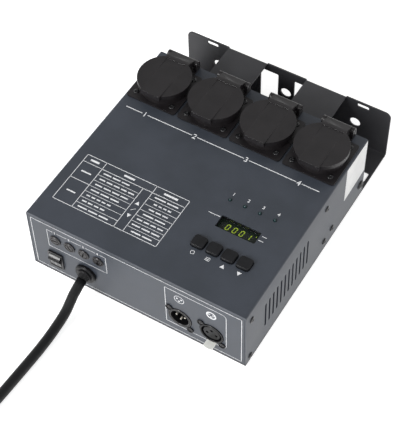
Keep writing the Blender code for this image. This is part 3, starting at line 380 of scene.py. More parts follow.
# silicone rubber on the keys: matt, with a weaker mirror than hard plastic
grainCoat("siliconeKey", "#0D0E11", 0.45, ("#0A0B0E", "#111216"), 0.6, 0.03, 6, (0.38, 0.5), ior=1.41)

# PVC cord sheath, extruded: matt black with long faint draw lines
tree, shader = startMaterial("extrudedSheath", "#0F1012", 0.48, 0.0, 1.5, **{"Specular IOR Level": 0.3})
place = addNode(tree, "ShaderNodeTexCoord")
stretch = addNode(tree, "ShaderNodeMapping", {"Scale": (1.0, 0.02, 1.0)}, {"Vector": place.outputs["UV"]})
setTones(tree, shader, addNoise(tree, place.outputs["Object"], 45.0, 5.0), ("#0C0D0E", "#151618"))
addBump(tree, shader, addNoise(tree, stretch.outputs["Vector"], 900.0, 3.0), 0.5, 0.06)

# moulded rubber of the plug and the boot: matt with a dusty bloom
grainCoat("mouldedRubber", "#18181A", 0.6, ("#151517", "#202022"), 1.0, 0.05, 9, (0.52, 0.68))

# zinc-plated steel, bright dipped: pale grey metal with cloudy spangles
grainCoat("zincPlate", "#A9ABAE", 0.38, ("#9C9EA2", "#B4B6B8"), 2.0, 0.02, 7, (0.3, 0.48), metallic=1.0)

# drawn steel of the hinge pins and the screws' bare ends
grainCoat("drawnSteel", "#A0A2A4", 0.3, ("#939598", "#ABADAF"), 0.8, 0.01, 4, (0.24, 0.36), metallic=1.0)

# black oxide with oil on the screw heads: almost black, with small hard glints
grainCoat("blackOxide", "#111113", 0.24, ("#0D0D0F", "#17171A"), 0.6, 0.01, 2, (0.16, 0.28),
          **{"Specular IOR Level": 0.5})

# satin nickel plate on pins and contacts
grainCoat("satinNickel", "#C9C5BC", 0.28, ("#BFBBB2", "#D2CEC6"), 0.5, 0.008, 4, (0.22, 0.34), metallic=1.0)

# plated sheet of the release tab, given a near-white colour with only a tenth of metal: a painted reflection
# of the white floor it mirrors, spread evenly
grainCoat("blastedNickel", "#F0F1EC", 0.5, ("#E9EAE5", "#F5F6F1"), 0.4, 0.02, 3, (0.44, 0.58), metallic=0.1)

# rolled brass, a little tarnished
grainCoat("rolledBrass", "#C29A52", 0.32, ("#B08A46", "#CDA75F"), 0.8, 0.01, 5, (0.26, 0.42), metallic=1.0)

# extruded aluminium, mill finish, with draw lines along the case
grainCoat("extrudedAluminium", "#B5B7BA", 0.36, ("#A9ABAE", "#BEC0C2"), 0.5, 0.02, 8, (0.3, 0.42),
          metallic=1.0)

# silk-screen ink: an opaque white film with slightly broken edges
grainCoat("screenInk", "#E9EAEC", 0.55, ("#DCDDE0", "#F2F3F4"), 0.9, 0.02, 5, (0.5, 0.62))

# coated paper of the blank label
grainCoat("labelPaper", "#F1F1F0", 0.4, ("#EAEAE9", "#F6F6F5"), 0.4, 0.01, 20, (0.34, 0.46))

# smoked acrylic in front of the display: a dark green-grey sheet that lets about half the light through
grainCoat("smokedAcrylic", "#2C362F", 0.08, ("#28322B", "#303A33"), 3.0, 0.002, 10, (0.06, 0.12),
          ior=1.49, **{"Alpha": 0.32})

# cast epoxy of the display block, black between the digits
grainCoat("castEpoxy", "#0C0D0D", 0.3, ("#0A0B0B", "#101111"), 1.0, 0.01, 5, (0.24, 0.36))

# lit segments of the display, yellow-green behind a diffusing film
glow = {"Emission Color": toLinear("#C6E23C"), "Emission Strength": 0.9}
tree, shader = startMaterial("litSegment", "#B7D433", 0.5, **glow)
place = addNode(tree, "ShaderNodeTexCoord")
setTones(tree, shader, addNoise(tree, place.outputs["Object"], 2500.0, 2.0), ("#A9CC2C", "#C9E64A"))

# unlit green lamp: tinted clear epoxy, dark until it is lit
grainCoat("lampEpoxy", "#1E3C3A", 0.12, ("#1A3533", "#24464A"), 1.0, 0.004, 2, (0.08, 0.14),
          ior=1.55, **{"Transmission Weight": 0.35})

# glass tube of a fuse
grainCoat("drawnGlass", "#DDE6E4", 0.03, ("#D6E2DF", "#E4ECEA"), 2.0, 0.002, 8, (0.02, 0.05),
          **{"Transmission Weight": 0.95})

# fibreglass circuit board under green solder mask, with tracks a millimetre wide
tree, shader = startMaterial("solderMask", "#14532B", 0.32)
place = addNode(tree, "ShaderNodeTexCoord")
tracks = addNode(tree, "ShaderNodeTexVoronoi", {"Scale": 320.0}, {"Vector": place.outputs["Object"]},
                 distance="MANHATTAN", feature="DISTANCE_TO_EDGE").outputs["Distance"]
setTones(tree, shader, tracks, ("#1E6E3B", "#114826"), (0.06, 0.1))
addBump(tree, shader, tracks, 0.4, 0.03)

# stacked transformer laminations, half a millimetre each, varnished
bandedCoat("stampedLaminations", "#3A3C40", 0.45, 0.7, ("#2A2B2E", "#4C4E53"), 320.0, 0.4, "Y")

# enamelled copper wire wound on the chokes, about a millimetre a turn
bandedCoat("woundCopper", "#9C4B24", 0.3, 0.9, ("#5A2A14", "#B4602F"), 160.0, 0.6, "X")

# heat-shrunk sleeve of the capacitors
grainCoat("shrunkSleeve", "#1A2740", 0.35, ("#16223A", "#1E2C48"), 0.8, 0.02, 6, (0.28, 0.4))

# grey moulded terminal block
grainCoat("terminalNylon", "#8B8F92", 0.5, ("#83878A", "#94989B"), 0.7, 0.04, 8, (0.44, 0.56))

# woven hook-and-loop tape round the coil
grainCoat("wovenTape", "#151516", 0.85, ("#0F0F10", "#1E1E20"), 0.7, 0.25, 3, (0.78, 0.92))

print(f"{len(coats)} materials made")


# mains cord, from the bush to the plug, all one length

cordRoute = {
    "diameter": 9.3, "exit": (-51.5, -136, 23.6), "droop": 20, "flange": 3.6, "sleeve": 3.9,
    "lead": 4, "landing": ((0.9, 40), (0.1, 20)), "finePoints": 40, "spread": 1.6, "sides": 28,
    "coilMiddle": (-120, -372), "coilRadius": 54.5, "coilSpacing": 10.1, "coilTurns": 3.5, "coilPoints": 24,
    "plugTail": 44, "plugAxis": 18.7,
    # sideways, in front of the panel, height of the middle
    "picked": ((0.4, 19, 17.3), (0.7, 26, 13.8), (0.8, 33.5, 10.5), (0.9, 43, 7.6), (1, 56, 5.6),
               (1, 72, 4.65), (0.6, 86, 4.65), (-0.2, 103, 4.65), (-1.2, 123, 4.65), (-2.6, 145, 4.65),
               (-4.3, 167, 4.65)),
}


def coilInner():
    return cordRoute["coilRadius"] - cordRoute["coilSpacing"] * cordRoute["coilTurns"] / 4


def coilPoint(turn):
    s = cordRoute
    middle = s["coilTurns"] / 2
    radius = coilInner() + s["coilSpacing"] * abs(turn - middle)
    climb = min(max((turn - middle) / 0.5 + 0.5, 0), 1)
    lift = climb * climb * (3 - 2 * climb)
    angle = -2 * math.pi * turn
    x = s["coilMiddle"][0] + radius * math.cos(angle)
    y = s["coilMiddle"][1] + radius * math.sin(angle)
    return Vector((x, y, s["diameter"] / 2 + s["coilSpacing"] * lift)) * mm


def catmull(p0, p1, p2, p3, t):
    linear = (p2 - p0) * t
    square = (2 * p0 - 5 * p1 + 4 * p2 - p3) * t ** 2
    cube = (3 * p1 - p0 - 3 * p2 + p3) * t ** 3
    return (2 * p1 + linear + square + cube) / 2


def smoothPath(points, steps):
    dense = []
    for index in range(len(points) - 1):
        before = points[max(index - 1, 0)]
        after = points[min(index + 2, len(points) - 1)]
        for step in range(steps):
            dense.append(catmull(before, points[index], points[index + 1], after, step / steps))
    return dense + [points[-1]]


def pathLength(points):
    return sum((b - a).length for a, b in zip(points, points[1:]))


def evenPath(points, spacing):
    total = pathLength(points)
    count = max(2, round(total / spacing))
    result, travelled, index = [], 0, 0
    for number in range(count + 1):
        goal = total * number / count
        while index < len(points) - 2 and travelled + (points[index + 1] - points[index]).length < goal:
            travelled += (points[index + 1] - points[index]).length
            index += 1
        piece = points[index + 1] - points[index]
        result.append(points[index] + piece * min((goal - travelled) / max(piece.length, 1e-9), 1))
    return result


def cordPoints():
    s = cordRoute
    out = Vector((0, -math.cos(math.radians(s["droop"])), -math.sin(math.radians(s["droop"]))))
    root = Vector(s["exit"]) - Vector((0, s["flange"], 0))
    start = (root + out * s["sleeve"]) * mm
    joint = coilPoint(0) + Vector((0, s["diameter"] * mm, 0))
    points = [start, start + out * s["lead"] * mm]
    for side, ahead, height in s["picked"]:
        points.append(Vector((s["exit"][0] + side, s["exit"][1] - ahead, height)) * mm)
    points += [joint + Vector((side, ahead, 0)) * mm for side, ahead in s["landing"]]
    points += [joint + Vector((0, s["diameter"], 0)) * mm]
    route = evenPath(smoothPath(points, s["finePoints"]), s["spread"] * s["diameter"] * mm)
    route[1] = route[0] + out * (route[1] - route[0]).length
    steps = round(s["coilTurns"] * s["coilPoints"])
    wound = [coilPoint(s["coilTurns"] * step / steps) for step in range(steps + 1)]
    last = wound[-1]
    rise = s["plugAxis"] * mm - last.z
    tail = s["plugTail"] * mm
    for share in (0.3, 0.6):
        ease = share * share * (3 - 2 * share)
        wound.append(Vector((last.x, last.y + tail * share, last.z + rise * ease)))
    end = Vector((last.x, last.y + tail, s["plugAxis"] * mm))
    wound += [end - Vector((0, s["diameter"] * mm, 0)), end]
    return route + [joint] + wound


def makeCord():
    points = cordPoints()
    path = smoothPath(points, 2)
    bm = tubeMesh(path, cordRoute["diameter"] / 2 * mm, cordRoute["sides"])
    cord = toMesh("supply_cord", bm, "extrudedSheath", 60)
    seat(cord, "case", "rubber", "mains_cord", "cord_coil")
    return cord, path


supplyCord, cordPath = makeCord()
print(f"cord {pathLength(cordPath):.3f} m")


# screw heads: one cross head is made, and a node tree sets it on every point

# width and rise of each head
screwSizes = {"outletFlange": (5.6, 1.4), "panel": (4.8, 1.0), "side": (6.4, 1.5), "bracket": (9.0, 2.4)}
crossShape = {"edge": 0.25, "steps": 5, "sides": 20, "long": 0.62, "wide": 0.17, "foot": (0.5, 0.8),
              "low": 0.25, "high": 1.4}  # shares of the head's radius and rise


def crossHead(radius, rise):  # a domed head with a tapered cross driven into it
    s = crossShape
    bm = bmesh.new()
    edge = s["edge"] * rise
    profile = [(0, 0), (radius, 0), (radius, edge)]
    for step in range(1, s["steps"]):
        a = math.radians(90 * step / s["steps"])
        profile.append((radius * math.cos(a), edge + (rise - edge) * math.sin(a)))
    profile.append((0, rise))
    addTurned(bm, profile, s["sides"])
    head = toMesh("headBlank", bm, "blackOxide")
    bm = bmesh.new()
    long, wide = radius * s["long"], radius * s["wide"]
    corners = rectangle(-1, 1, -1, 1)
    footX, footY = s["foot"]
    for a, b in ((long, wide), (wide, long)):
        low = [Vector((x * a * footX, y * b * footY, rise * s["low"])) for x, y in corners]
        high = [Vector((x * a, y * b, rise * s["high"])) for x, y in corners]
        low, high = ([bm.verts.new(point * mm) for point in ring] for ring in (low, high))
        bm.faces.new(low[::-1])
        bm.faces.new(high)
        for index in range(4):
            after = (index + 1) % 4
            bm.faces.new((low[index], low[after], high[after], high[index]))
    cross = toMesh("crossTool", bm, "blackOxide")
    drive = head.modifiers.new("drive", "BOOLEAN")
    drive.operation = "DIFFERENCE"
    drive.solver = "EXACT"
    drive.use_self = True
    drive.object = cross
    applyModifiers(head)
    bpy.data.objects.remove(cross)
    return head


def scatterTree():  # sets a shape on each point, facing the point's own direction, turned at random
    tree = bpy.data.node_groups.new("setOnPoints", "GeometryNodeTree")
    inputs = {"Geometry": "Geometry", "Shape": "Object", "Coat": "Material", "Turn": "Float", "Seed": "Int"}
    for name, kind in inputs.items():
        tree.interface.new_socket(name, in_out="INPUT", socket_type=f"NodeSocket{kind}")
    tree.interface.new_socket("Geometry", in_out="OUTPUT", socket_type="NodeSocketGeometry")
    entry = addNode(tree, "NodeGroupInput")
    shape = addNode(tree, "GeometryNodeObjectInfo", links={"Object": entry.outputs["Shape"]})
    facing = addNode(tree, "GeometryNodeInputNamedAttribute", {"Name": "facing"}, data_type="FLOAT_VECTOR")
    align = addNode(tree, "FunctionNodeAlignRotationToVector",
                    links={"Vector": facing.outputs["Attribute"]}, axis="Z")
    spread = addNode(tree, "FunctionNodeRandomValue", {2: 0.0},
                     {3: entry.outputs["Turn"], 8: entry.outputs["Seed"]}, data_type="FLOAT")
    spin = addNode(tree, "ShaderNodeCombineXYZ", links={"Z": spread.outputs[1]})
    setOn = addNode(tree, "GeometryNodeInstanceOnPoints", links={
        "Points": entry.outputs["Geometry"], "Instance": shape.outputs["Geometry"],
        "Rotation": align.outputs["Rotation"]})
    turned = addNode(tree, "GeometryNodeRotateInstances", links={
        "Instances": setOn.outputs["Instances"], "Rotation": spin.outputs["Vector"]})
    real = addNode(tree, "GeometryNodeRealizeInstances", links={"Geometry": turned.outputs["Instances"]})
    coat = addNode(tree, "GeometryNodeSetMaterial", links={
        "Geometry": real.outputs["Geometry"], "Material": entry.outputs["Coat"]})
    addNode(tree, "NodeGroupOutput", links={"Geometry": coat.outputs["Geometry"]})
    return tree


setOnPoints = scatterTree()


def setShapes(name, shape, places, coat, seed):
    bm = bmesh.new()
    layer = bm.verts.layers.float_vector.new("facing")
    for place, facing in places:
        point = bm.verts.new(Vector(place) * mm)
        point[layer] = Vector(facing)
    item = toMesh(name, bm, coat)
    modifier = item.modifiers.new("set", "NODES")
    modifier.node_group = setOnPoints
    values = {"Shape": shape, "Coat": coats[coat], "Turn": 2 * math.pi, "Seed": seed}
    for socket in setOnPoints.interface.items_tree:
        if socket.in_out == "INPUT" and socket.name in values:
            modifier[socket.identifier] = values[socket.name]
    applyModifiers(item)
    item.data.materials.clear()
    item.data.materials.append(coats[coat])
    return item


def screws(name, kind, places):
    width, rise = screwSizes[kind]
    head = crossHead(width / 2, rise)
    item = setShapes(name, head, places, "blackOxide", len(name))
    bpy.data.objects.remove(head)
    seat(item, "case", "zinc")


# folded case: tray with both panels, cover with the vented sides, divider behind it

case = {
    "front": -136, "rear": 85, "half": 110, "top": 74.5, "foldEdge": 0.25,
    # behind the front edge, above the underside
    "sideScrews": ((9.4, 61), (8.2, 6.6), (142.9, 60.3), (142.7, 12.3), (157.3, 15.6)),
    "bracketBolt": (213.8, 17),
    # sideways, above the underside
    "rearScrews": ((-96, 62), (96, 62), (0, 66), (-96, 10), (96, 10)),
}

for nodeName in ("top_cover", "chassis_tray"):
    finishedCopy(nodeName, "powderCoatGrey", "grey_coat", case["foldEdge"], 2, 40)
finishedCopy("divider_plate", "zincPlate", "zinc", 0.2, 1, 40)
finishedCopy("mounting_bracket", "powderCoatBlack", "black_coat", 0.3, 2, 40)


def sidePlaces(spots):  # the same spots on both sides of the case
    return [((side * case["half"], case["front"] + back, height), (side, 0, 0))
            for side in (-1, 1) for back, height in spots]


screws("side_screws", "side", sidePlaces(case["sideScrews"]))
screws("bracket_bolts", "bracket", sidePlaces([case["bracketBolt"]]))
places = [((x, case["rear"], z), (0, 1, 0)) for x, z in case["rearScrews"]]
screws("rear_screws", "side", places)
print("case made")


# outlets: flange, collar and recess, each under a hinged lid

outlets = {"x": (-81.75, -27.25, 27.25, 81.75), "y": 47.8, "screw": (19.25, 19.4), "flangeTop": 1.9}


def rubbed(name):  # a moulded black, its round edges in the lighter painted-highlight material
    return [name, "paintedHighlightEdge"]


moulded = rubbed("mouldedPolyamide")
for number in channels:
    finishedCopy(f"socket_body_{number}", moulded, "black_plastic", 0.5, 2, 40, rim=1)
    finishedCopy(f"socket_lid_{number}", moulded, "black_plastic", 0.65, 3, 30, rim=1)
    finishedCopy(f"lid_pin_{number}", "drawnSteel", "steel", 0.15, 1)
    finishedCopy(f"earth_strap_{number}", "rolledBrass", "brass", 0.15, 1)

places = []
for x in outlets["x"]:
    for signX in (-1, 1):
        for signY in (-1, 1):
            middle = (x + signX * outlets["screw"][0], outlets["y"] + signY * outlets["screw"][1])
            places.append(((*middle, case["top"] + outlets["flangeTop"]), (0, 0, 1)))
screws("outlet_screws", "outletFlange", places)
print("outlets made")


# connector panel: fuses, switch, bush, data connectors

panel = {
    "linkCap": 5.2, "pinsBehind": 11.9, "dataX": (45, 76.5), "dataZ": 25.8,
    "screwSteps": ((-10.4, 9.6), (10.4, -10.6)),
    "ring": ((2.5, -0.9), (2.8, -1.1), (3.2, -1.1), (3.4, -0.9), (3.4, 0), (2.5, 0)),
}


def linkZone(number):  # a glass tube between two metal caps
    low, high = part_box(f"fuse_link_{number}")
    ends = (low.y / mm + panel["linkCap"], high.y / mm - panel["linkCap"])
    return lambda middle, normal: 0 if ends[0] < middle.y < ends[1] else 1


for number in channels:
    finishedCopy(f"fuse_holder_{number}", "mouldedPolyamide", "black_plastic", 0.2, 2)
    finishedCopy(f"fuse_cap_{number}", moulded, "black_plastic", 0.25, 2, rim=1)
    link = ["drawnGlass", "satinNickel"]
    finishedCopy(f"fuse_link_{number}", link, "fuse_glass", 0.1, 1, 30, linkZone(number))


def dataPins(middle, normal):  # the pins stand ahead of the insert's face
    return 1 if middle.y < case["front"] + panel["pinsBehind"] else 0


finishedCopy("switch_housing", "glossyAbs", "black_plastic", 0.35, 3)
finishedCopy("switch_rocker", "glossyAbs", "black_plastic", 0.4, 3)
finishedCopy("cord_bush", rubbed("mattNylon"), "black_plastic", 0.6, 3, rim=1)
finishedCopy("data_in_shell", rubbed("mattNylon"), "dark_plastic", 0.3, 2, rim=1)
insert = ["mattNylon", "satinNickel"]
finishedCopy("data_in_insert", insert, "dark_plastic", 0.12, 2, 30, dataPins)
finishedCopy("data_out_shell", rubbed("mattNylon"), "dark_plastic", 0.3, 2, rim=1)
finishedCopy("data_out_insert", "mattNylon", "dark_plastic", 0.15, 2)
finishedCopy("release_tab", "blastedNickel", "nickel", 0.2, 2)

# screws of the data connectors, each in a raised black ring
places = []
bm = bmesh.new()
for x in panel["dataX"]:
    for dx, dz in panel["screwSteps"]:
        middle = (x + dx, case["front"], panel["dataZ"] + dz)
        places.append((middle, (0, -1, 0)))
        addTurned(bm, panel["ring"], 24, "Y", middle)
seat(toMesh("screw_rings", bm, "mattNylon"), "case", "dark_plastic")
screws("connector_screws", "panel", places)
print("connector panel made")


# display, keys and lamps

for number in channels:
    finishedCopy(f"button_{number}", rubbed("siliconeKey"), "black_plastic", 0.5, 3, rim=1)
    finishedCopy(f"channel_lamp_{number}", "lampEpoxy", "lamp_plastic", 0.15, 2)

display = {
    "middle": (58.2, 77.0), "pitch": 6.9, "figure": "0001", "size": (3.6, 6.5), "stroke": 0.75, "slant": 0.14,
    "paneTop": 69.9, "moduleTop": 68.0, "strokeGap": 0.14, "lift": (0.03, 0.15),
    "dot": (16.1, 3.2), "dotRadius": 0.45, "dotThick": 0.12,
}


def paneOnly(middle, normal):  # the pane is smoked, the walls round it are black
    return 0 if abs(normal.z) > 0.9 and middle.z < display["paneTop"] + 0.05 else 1


pane = ["smokedAcrylic", "glossyAbs"]
finishedCopy("display_window", pane, "smoked_window", 0.1, 1, 30, paneOnly)
finishedCopy("display_module", "castEpoxy", "dark_plastic", 0.2, 2)

segmentsOf = {"0": "abcdef", "1": "bc"}


def segmentEnds(width, height):  # middle lines of the strokes in use, from the figure's own middle
    x, y = width / 2, height / 2
    return {"a": ((-x, y), (x, y)), "b": ((x, y), (x, 0)), "c": ((x, 0), (x, -y)),
            "d": ((-x, -y), (x, -y)), "e": ((-x, 0), (-x, -y)), "f": ((-x, y), (-x, 0))}


def makeFigures():
    d = display
    bm = bmesh.new()
    ends = segmentEnds(d["size"][0] - d["stroke"], d["size"][1] - d["stroke"])
    first = d["middle"][0] - d["pitch"] * (len(d["figure"]) - 1) / 2
    for index, letter in enumerate(d["figure"]):
        for name in segmentsOf[letter]:
            start, end = (Vector(point) for point in ends[name])
            along = (end - start).normalized()
            side = Vector((-along.y, along.x)) * d["stroke"] / 2
            tip = along * d["stroke"] / 2
            start, end = start + along * d["strokeGap"], end - along * d["strokeGap"]
            outline = [start, start + tip + side, end - tip + side]
            outline += [end, end - tip - side, start + tip - side]
            shift = Vector((first + index * d["pitch"], d["middle"][1]))
            points = [(p.x + d["slant"] * p.y + shift.x, case["front"] + p.y + shift.y) for p in outline]
            addPrism(bm, points, *(d["moduleTop"] + lift for lift in d["lift"]))
    radius, thick = d["dotRadius"], d["dotThick"]
    x, y = d["middle"][0] + d["dot"][0], case["front"] + d["middle"][1] + d["dot"][1]
    dot = (x, y, d["moduleTop"] + d["lift"][0])
    addTurned(bm, [(0, 0), (radius, 0), (radius, thick), (0, thick)], 12, "Z", dot)
    figures = toMesh("display_figures", bm, "litSegment")
    seat(figures, "case", "lamp_plastic")


makeFigures()

# white screen print and a blank label, thin films on the paint

prints = {
    "film": 0.05, "line": 0.55, "leadLine": 0.6, "arrowRise": 1.9, "under": 0.01,
    "letterScale": 1.38, "letterSwell": 0.02,
    "table": {"x": (-98.5, -78.3, -35.2, -25.7, 7.6), "y": (24.5, 80.5), "header": 72.4, "rows": 7,
              "split": 52.0, "rowLine": 0.4, "arrows": (40.8, 56.2), "slash": (1.6, 47.0, 50.0),
              "arrowHalf": 2.1, "slashLine": 0.45},
    "cells": {"menu": (31, 23, 25, 29, 34, 36, 27), "inset": 4, "modes": ((38.2, 9), (62.2, 10)),
              "headers": (9, 11, 14), "headerTall": 2.0, "tall": 1.3, "gap": 1.5},
    "channelLine": {"ends": (-99.9, 99.4), "across": 146.1, "figures": (-79.9, -27.0, 26.7, 79.7),
                    "gap": 6.2, "width": 0.8, "height": 5.6},
    "fuseLine": {"ends": (-89.5, -28.6), "across": 62.0, "figures": (-81.2, -66.4, -51.6, -36.8),
                 "gap": 4.8, "width": 0.45, "height": 3.0},
    "lampFigures": {"first": 37.0, "pitch": 14.85, "back": 106.8, "height": 3.4},
    "keyMarks": {"y": 35.4, "arrows": (66.9, 82.2), "ring": 37.4, "bars": (50.2, 54.3),
                 "barSteps": (34.0, 35.4, 36.8), "arrowHalf": 2.2, "radii": (2.0, 1.5), "barLine": 0.5},
    "leadLines": (((27.6, 79.3), (38.6, 79.4)), ((80.6, 79.2), (84.4, 79.2)), ((79.6, 74.2), (83.8, 74.2))),
    "border": (-105.8, 105.8, 4.2, 69.0),
    "fuseFoot": 39.0,
    "dataFrame": (31.0, 91.0, 12.0, 63.0), "dataCorner": 4, "cornerTurns": (0, 0.52, 1.05, 1.57),
    "sockets": ((45.0, 53.5), (76.5, 53.5)), "socketPins": ((-2.1, 0.8), (2.1, 0.8), (0, -2.1)),
    "socketRings": ((5.0, 4.45), (5.0, 3.6)), "pinRadius": 0.95, "pinRing": (1.15, 0.55),
    "label": {"corners": ((179.5, 30.4), (219.6, 33.2), (220.4, 73.2), (180.6, 73.0)), "thick": 0.12},
}

surfaces = {
    "top": lambda a, b, lift: (a, case["front"] + b, case["top"] + lift),
    "front": lambda a, b, lift: (a, case["front"] - lift, b),
    "right": lambda a, b, lift: (case["half"] + lift, case["front"] + a, b),
}


def addFilm(bm, surface, outline, thick=None):
    put = surfaces[surface]
    high = thick or prints["film"]
    lower = [bm.verts.new(Vector(put(a, b, prints["under"])) * mm) for a, b in outline]
    upper = [bm.verts.new(Vector(put(a, b, high)) * mm) for a, b in outline]
    closeWalls(bm, lower, upper)


def addLine(bm, surface, start, end, width=None):
    half = (width or prints["line"]) / 2
    a, b = Vector(start), Vector(end)
    along = (b - a).normalized() * half
    side = Vector((-along.y, along.x))
    corners = (a - along - side, b + along - side, b + along + side, a - along + side)
    addFilm(bm, surface, [tuple(corner) for corner in corners])


def addPath(bm, surface, points, width=None, closed=False):
    pairs = list(zip(points, points[1:])) + ([(points[-1], points[0])] if closed else [])
    for start, end in pairs:
        addLine(bm, surface, start, end, width)


def arcPoints(middle, radius, turns):
    return [(middle[0] + radius * math.cos(t), middle[1] + radius * math.sin(t)) for t in turns]


def addRing(bm, surface, middle, outer, inner, sides=24):  # flat, cut in two so each half has one outline
    for start in (0, 180):
        turns = [math.radians(start + 180 * step * 2 / sides) for step in range(sides // 2 + 1)]
        addFilm(bm, surface, arcPoints(middle, outer, turns) + arcPoints(middle, inner, turns[::-1]))


def addDisc(bm, surface, middle, radius, sides):
    turns = [2 * math.pi * step / sides for step in range(sides)]
    addFilm(bm, surface, arcPoints(middle, radius, turns))


def addFigure(bm, surface, text, middle, height):
    curve = bpy.data.curves.new("figure", "FONT")
    curve.body = text
    curve.size = height * prints["letterScale"]
    curve.extrude = prints["film"] / 2
    curve.align_x = "CENTER"
    curve.resolution_u = 3
    curve.offset = prints["letterSwell"] * height
    item = newObject("figure", curve)
    bpy.context.view_layer.update()
    graph = bpy.context.evaluated_depsgraph_get()
    mesh = bpy.data.meshes.new_from_object(item.evaluated_get(graph))
    put = surfaces[surface]
    for vertex in mesh.vertices:
        a, b, lift = vertex.co
        lift = prints["under"] + lift + prints["film"] / 2
        place = put(middle[0] + a, middle[1] + b - height / 2, lift)
        vertex.co = Vector(place) * mm
    bm.from_mesh(mesh)
    bpy.data.objects.remove(item)
    bpy.data.curves.remove(curve)


def addArrow(bm, x, y, turn, half):
    rise = turn * prints["arrowRise"]
    addFilm(bm, "top", [(x - half, y - rise), (x + half, y - rise), (x, y + rise)])


def addTable(bm):
    t = prints["table"]
    left, split, mark, show, right = t["x"]
    low, high = t["y"]
    addPath(bm, "top", rectangle(left, right, low, high), closed=True)
    addLine(bm, "top", (left, t["header"]), (right, t["header"]))
    for x, stop in ((split, high), (mark, t["header"]), (show, high)):
        addLine(bm, "top", (x, low), (x, stop))
    addLine(bm, "top", (left, t["split"]), (split, t["split"]))
    step = (t["header"] - low) / t["rows"]
    for index in range(1, t["rows"]):
        y = low + index * step
        addLine(bm, "top", (split, y), (mark, y), t["rowLine"])
        addLine(bm, "top", (show, y), (right, y), t["rowLine"])
    middleX = (mark + show) / 2
    for y, turn in zip(t["arrows"], (-1, 1)):
        addArrow(bm, middleX, y, turn, t["arrowHalf"])
    half, start, end = t["slash"]
    addLine(bm, "top", (middleX - half, start), (middleX + half, end), t["slashLine"])
    addCellMarks(bm, low, step)


# Rows of short plain dashes stand in the cells.

def addCellMarks(bm, low, step):
    t, c = prints["table"], prints["cells"]
    left, split, mark, show, right = t["x"]
    lengths = c["menu"]
    for index in range(t["rows"]):
        y = low + (index + 0.5) * step
        addDashes(bm, (split + c["inset"], y), lengths[index], 3 + index % 3)
        length = lengths[-1 - index]
        addDashes(bm, ((show + right) / 2 - length / 2.6, y), length / 1.3, 2 + index % 3)
    for y, size in c["modes"]:
        addDashes(bm, ((left + split) / 2 - size / 2, y), size, 1)
    top = (t["header"] + t["y"][1]) / 2
    for a, b, size in zip((left, split, show), (split, show, right), c["headers"]):
        addDashes(bm, ((a + b) / 2 - size / 2, top), size, 1, c["headerTall"])


def addDashes(bm, start, length, count, tall=prints["cells"]["tall"]):
    gap = prints["cells"]["gap"]
    each = (length - gap * (count - 1)) / count
    for index in range(count):
        a = start[0] + index * (each + gap)
        addFilm(bm, "top", rectangle(a, a + each, start[1] - tall / 2, start[1] + tall / 2))


def addNumberedLine(bm, surface, s):  # a line broken by the channels' numbers
    cuts = [s["ends"][0]]
    for x in s["figures"]:
        cuts += [x - s["gap"] / 2, x + s["gap"] / 2]
    cuts.append(s["ends"][1])
    for a, b in zip(cuts[::2], cuts[1::2]):
        addLine(bm, surface, (a, s["across"]), (b, s["across"]), s["width"])
    for number, x in zip(channels, s["figures"]):
        addFigure(bm, surface, str(number), (x, s["across"]), s["height"])


def addTopPrint(bm):
    addTable(bm)
    addNumberedLine(bm, "top", prints["channelLine"])
    f = prints["lampFigures"]
    for number in channels:
        addFigure(bm, "top", str(number), (f["first"] + f["pitch"] * (number - 1), f["back"]), f["height"])
    k = prints["keyMarks"]
    for x, turn in zip(k["arrows"], (1, -1)):
        addArrow(bm, x, k["y"], turn, k["arrowHalf"])
    addRing(bm, "top", (k["ring"], k["y"]), *k["radii"])
    for y in k["barSteps"]:
        addLine(bm, "top", (k["bars"][0], y), (k["bars"][1], y), k["barLine"])
    for start, end in prints["leadLines"]:
        addLine(bm, "top", start, end, prints["leadLine"])


def addFrontPrint(bm):
    addPath(bm, "front", rectangle(*prints["border"]), closed=True)
    fuses = prints["fuseLine"]
    (x0, x1), z1, z0 = fuses["ends"], fuses["across"], prints["fuseFoot"]
    addPath(bm, "front", [(x0, z1), (x0, z0), (x1, z0), (x1, z1)], fuses["width"])
    addNumberedLine(bm, "front", fuses)
    x0, x1, z0, z1 = prints["dataFrame"]
    bend, turns = prints["dataCorner"], prints["cornerTurns"]
    corner = [(x1 - bend + bend * math.sin(t), z1 - bend + bend * math.cos(t)) for t in turns]
    low = [(x1 - bend + bend * math.cos(t), z0 + bend - bend * math.sin(t)) for t in turns]
    addPath(bm, "front", [(x0, z1), *corner, *low, (x0, z0)], closed=True)
    for index, (x, z) in enumerate(prints["sockets"]):
        addRing(bm, "front", (x, z), *prints["socketRings"][index])
        for dx, dz in prints["socketPins"]:
            if index == 0:
                addDisc(bm, "front", (x + dx, z + dz), prints["pinRadius"], 12)
            else:
                addRing(bm, "front", (x + dx, z + dz), *prints["pinRing"], 12)


def makePrints():
    bm = bmesh.new()
    addTopPrint(bm)
    addFrontPrint(bm)
    ink = toMesh("panel_print", bm, "screenInk")
    seat(ink, "case", "black_coat")
    bm = bmesh.new()
    label = prints["label"]
    addFilm(bm, "right", label["corners"], label["thick"])
    paper = toMesh("blank_label", bm, "labelPaper")
    seat(paper, "case", "black_coat")


# The rocker stands turned by 17.5 degrees, and its two faces meet in a shallow valley.

rocker = {
    "middle": (-83.6, -133.0, 21.5), "turn": 17.5, "face": (-6.2, 2.71),
    "lean": (0.218, 0.976), "height": 3.0,
}


def onRocker(side):
    def put(a, b, lift):
        lean, rise = rocker["lean"]
        y = rocker["face"][0] - side * lean * b - rise * lift
        z = side * rocker["face"][1] + rise * b - side * lean * lift
        turn = math.radians(rocker["turn"])
        x0, y0, z0 = rocker["middle"]
        ahead = y * math.cos(turn) - z * math.sin(turn)
        return (x0 + a, y0 + ahead, z0 + y * math.sin(turn) + z * math.cos(turn))
    return put


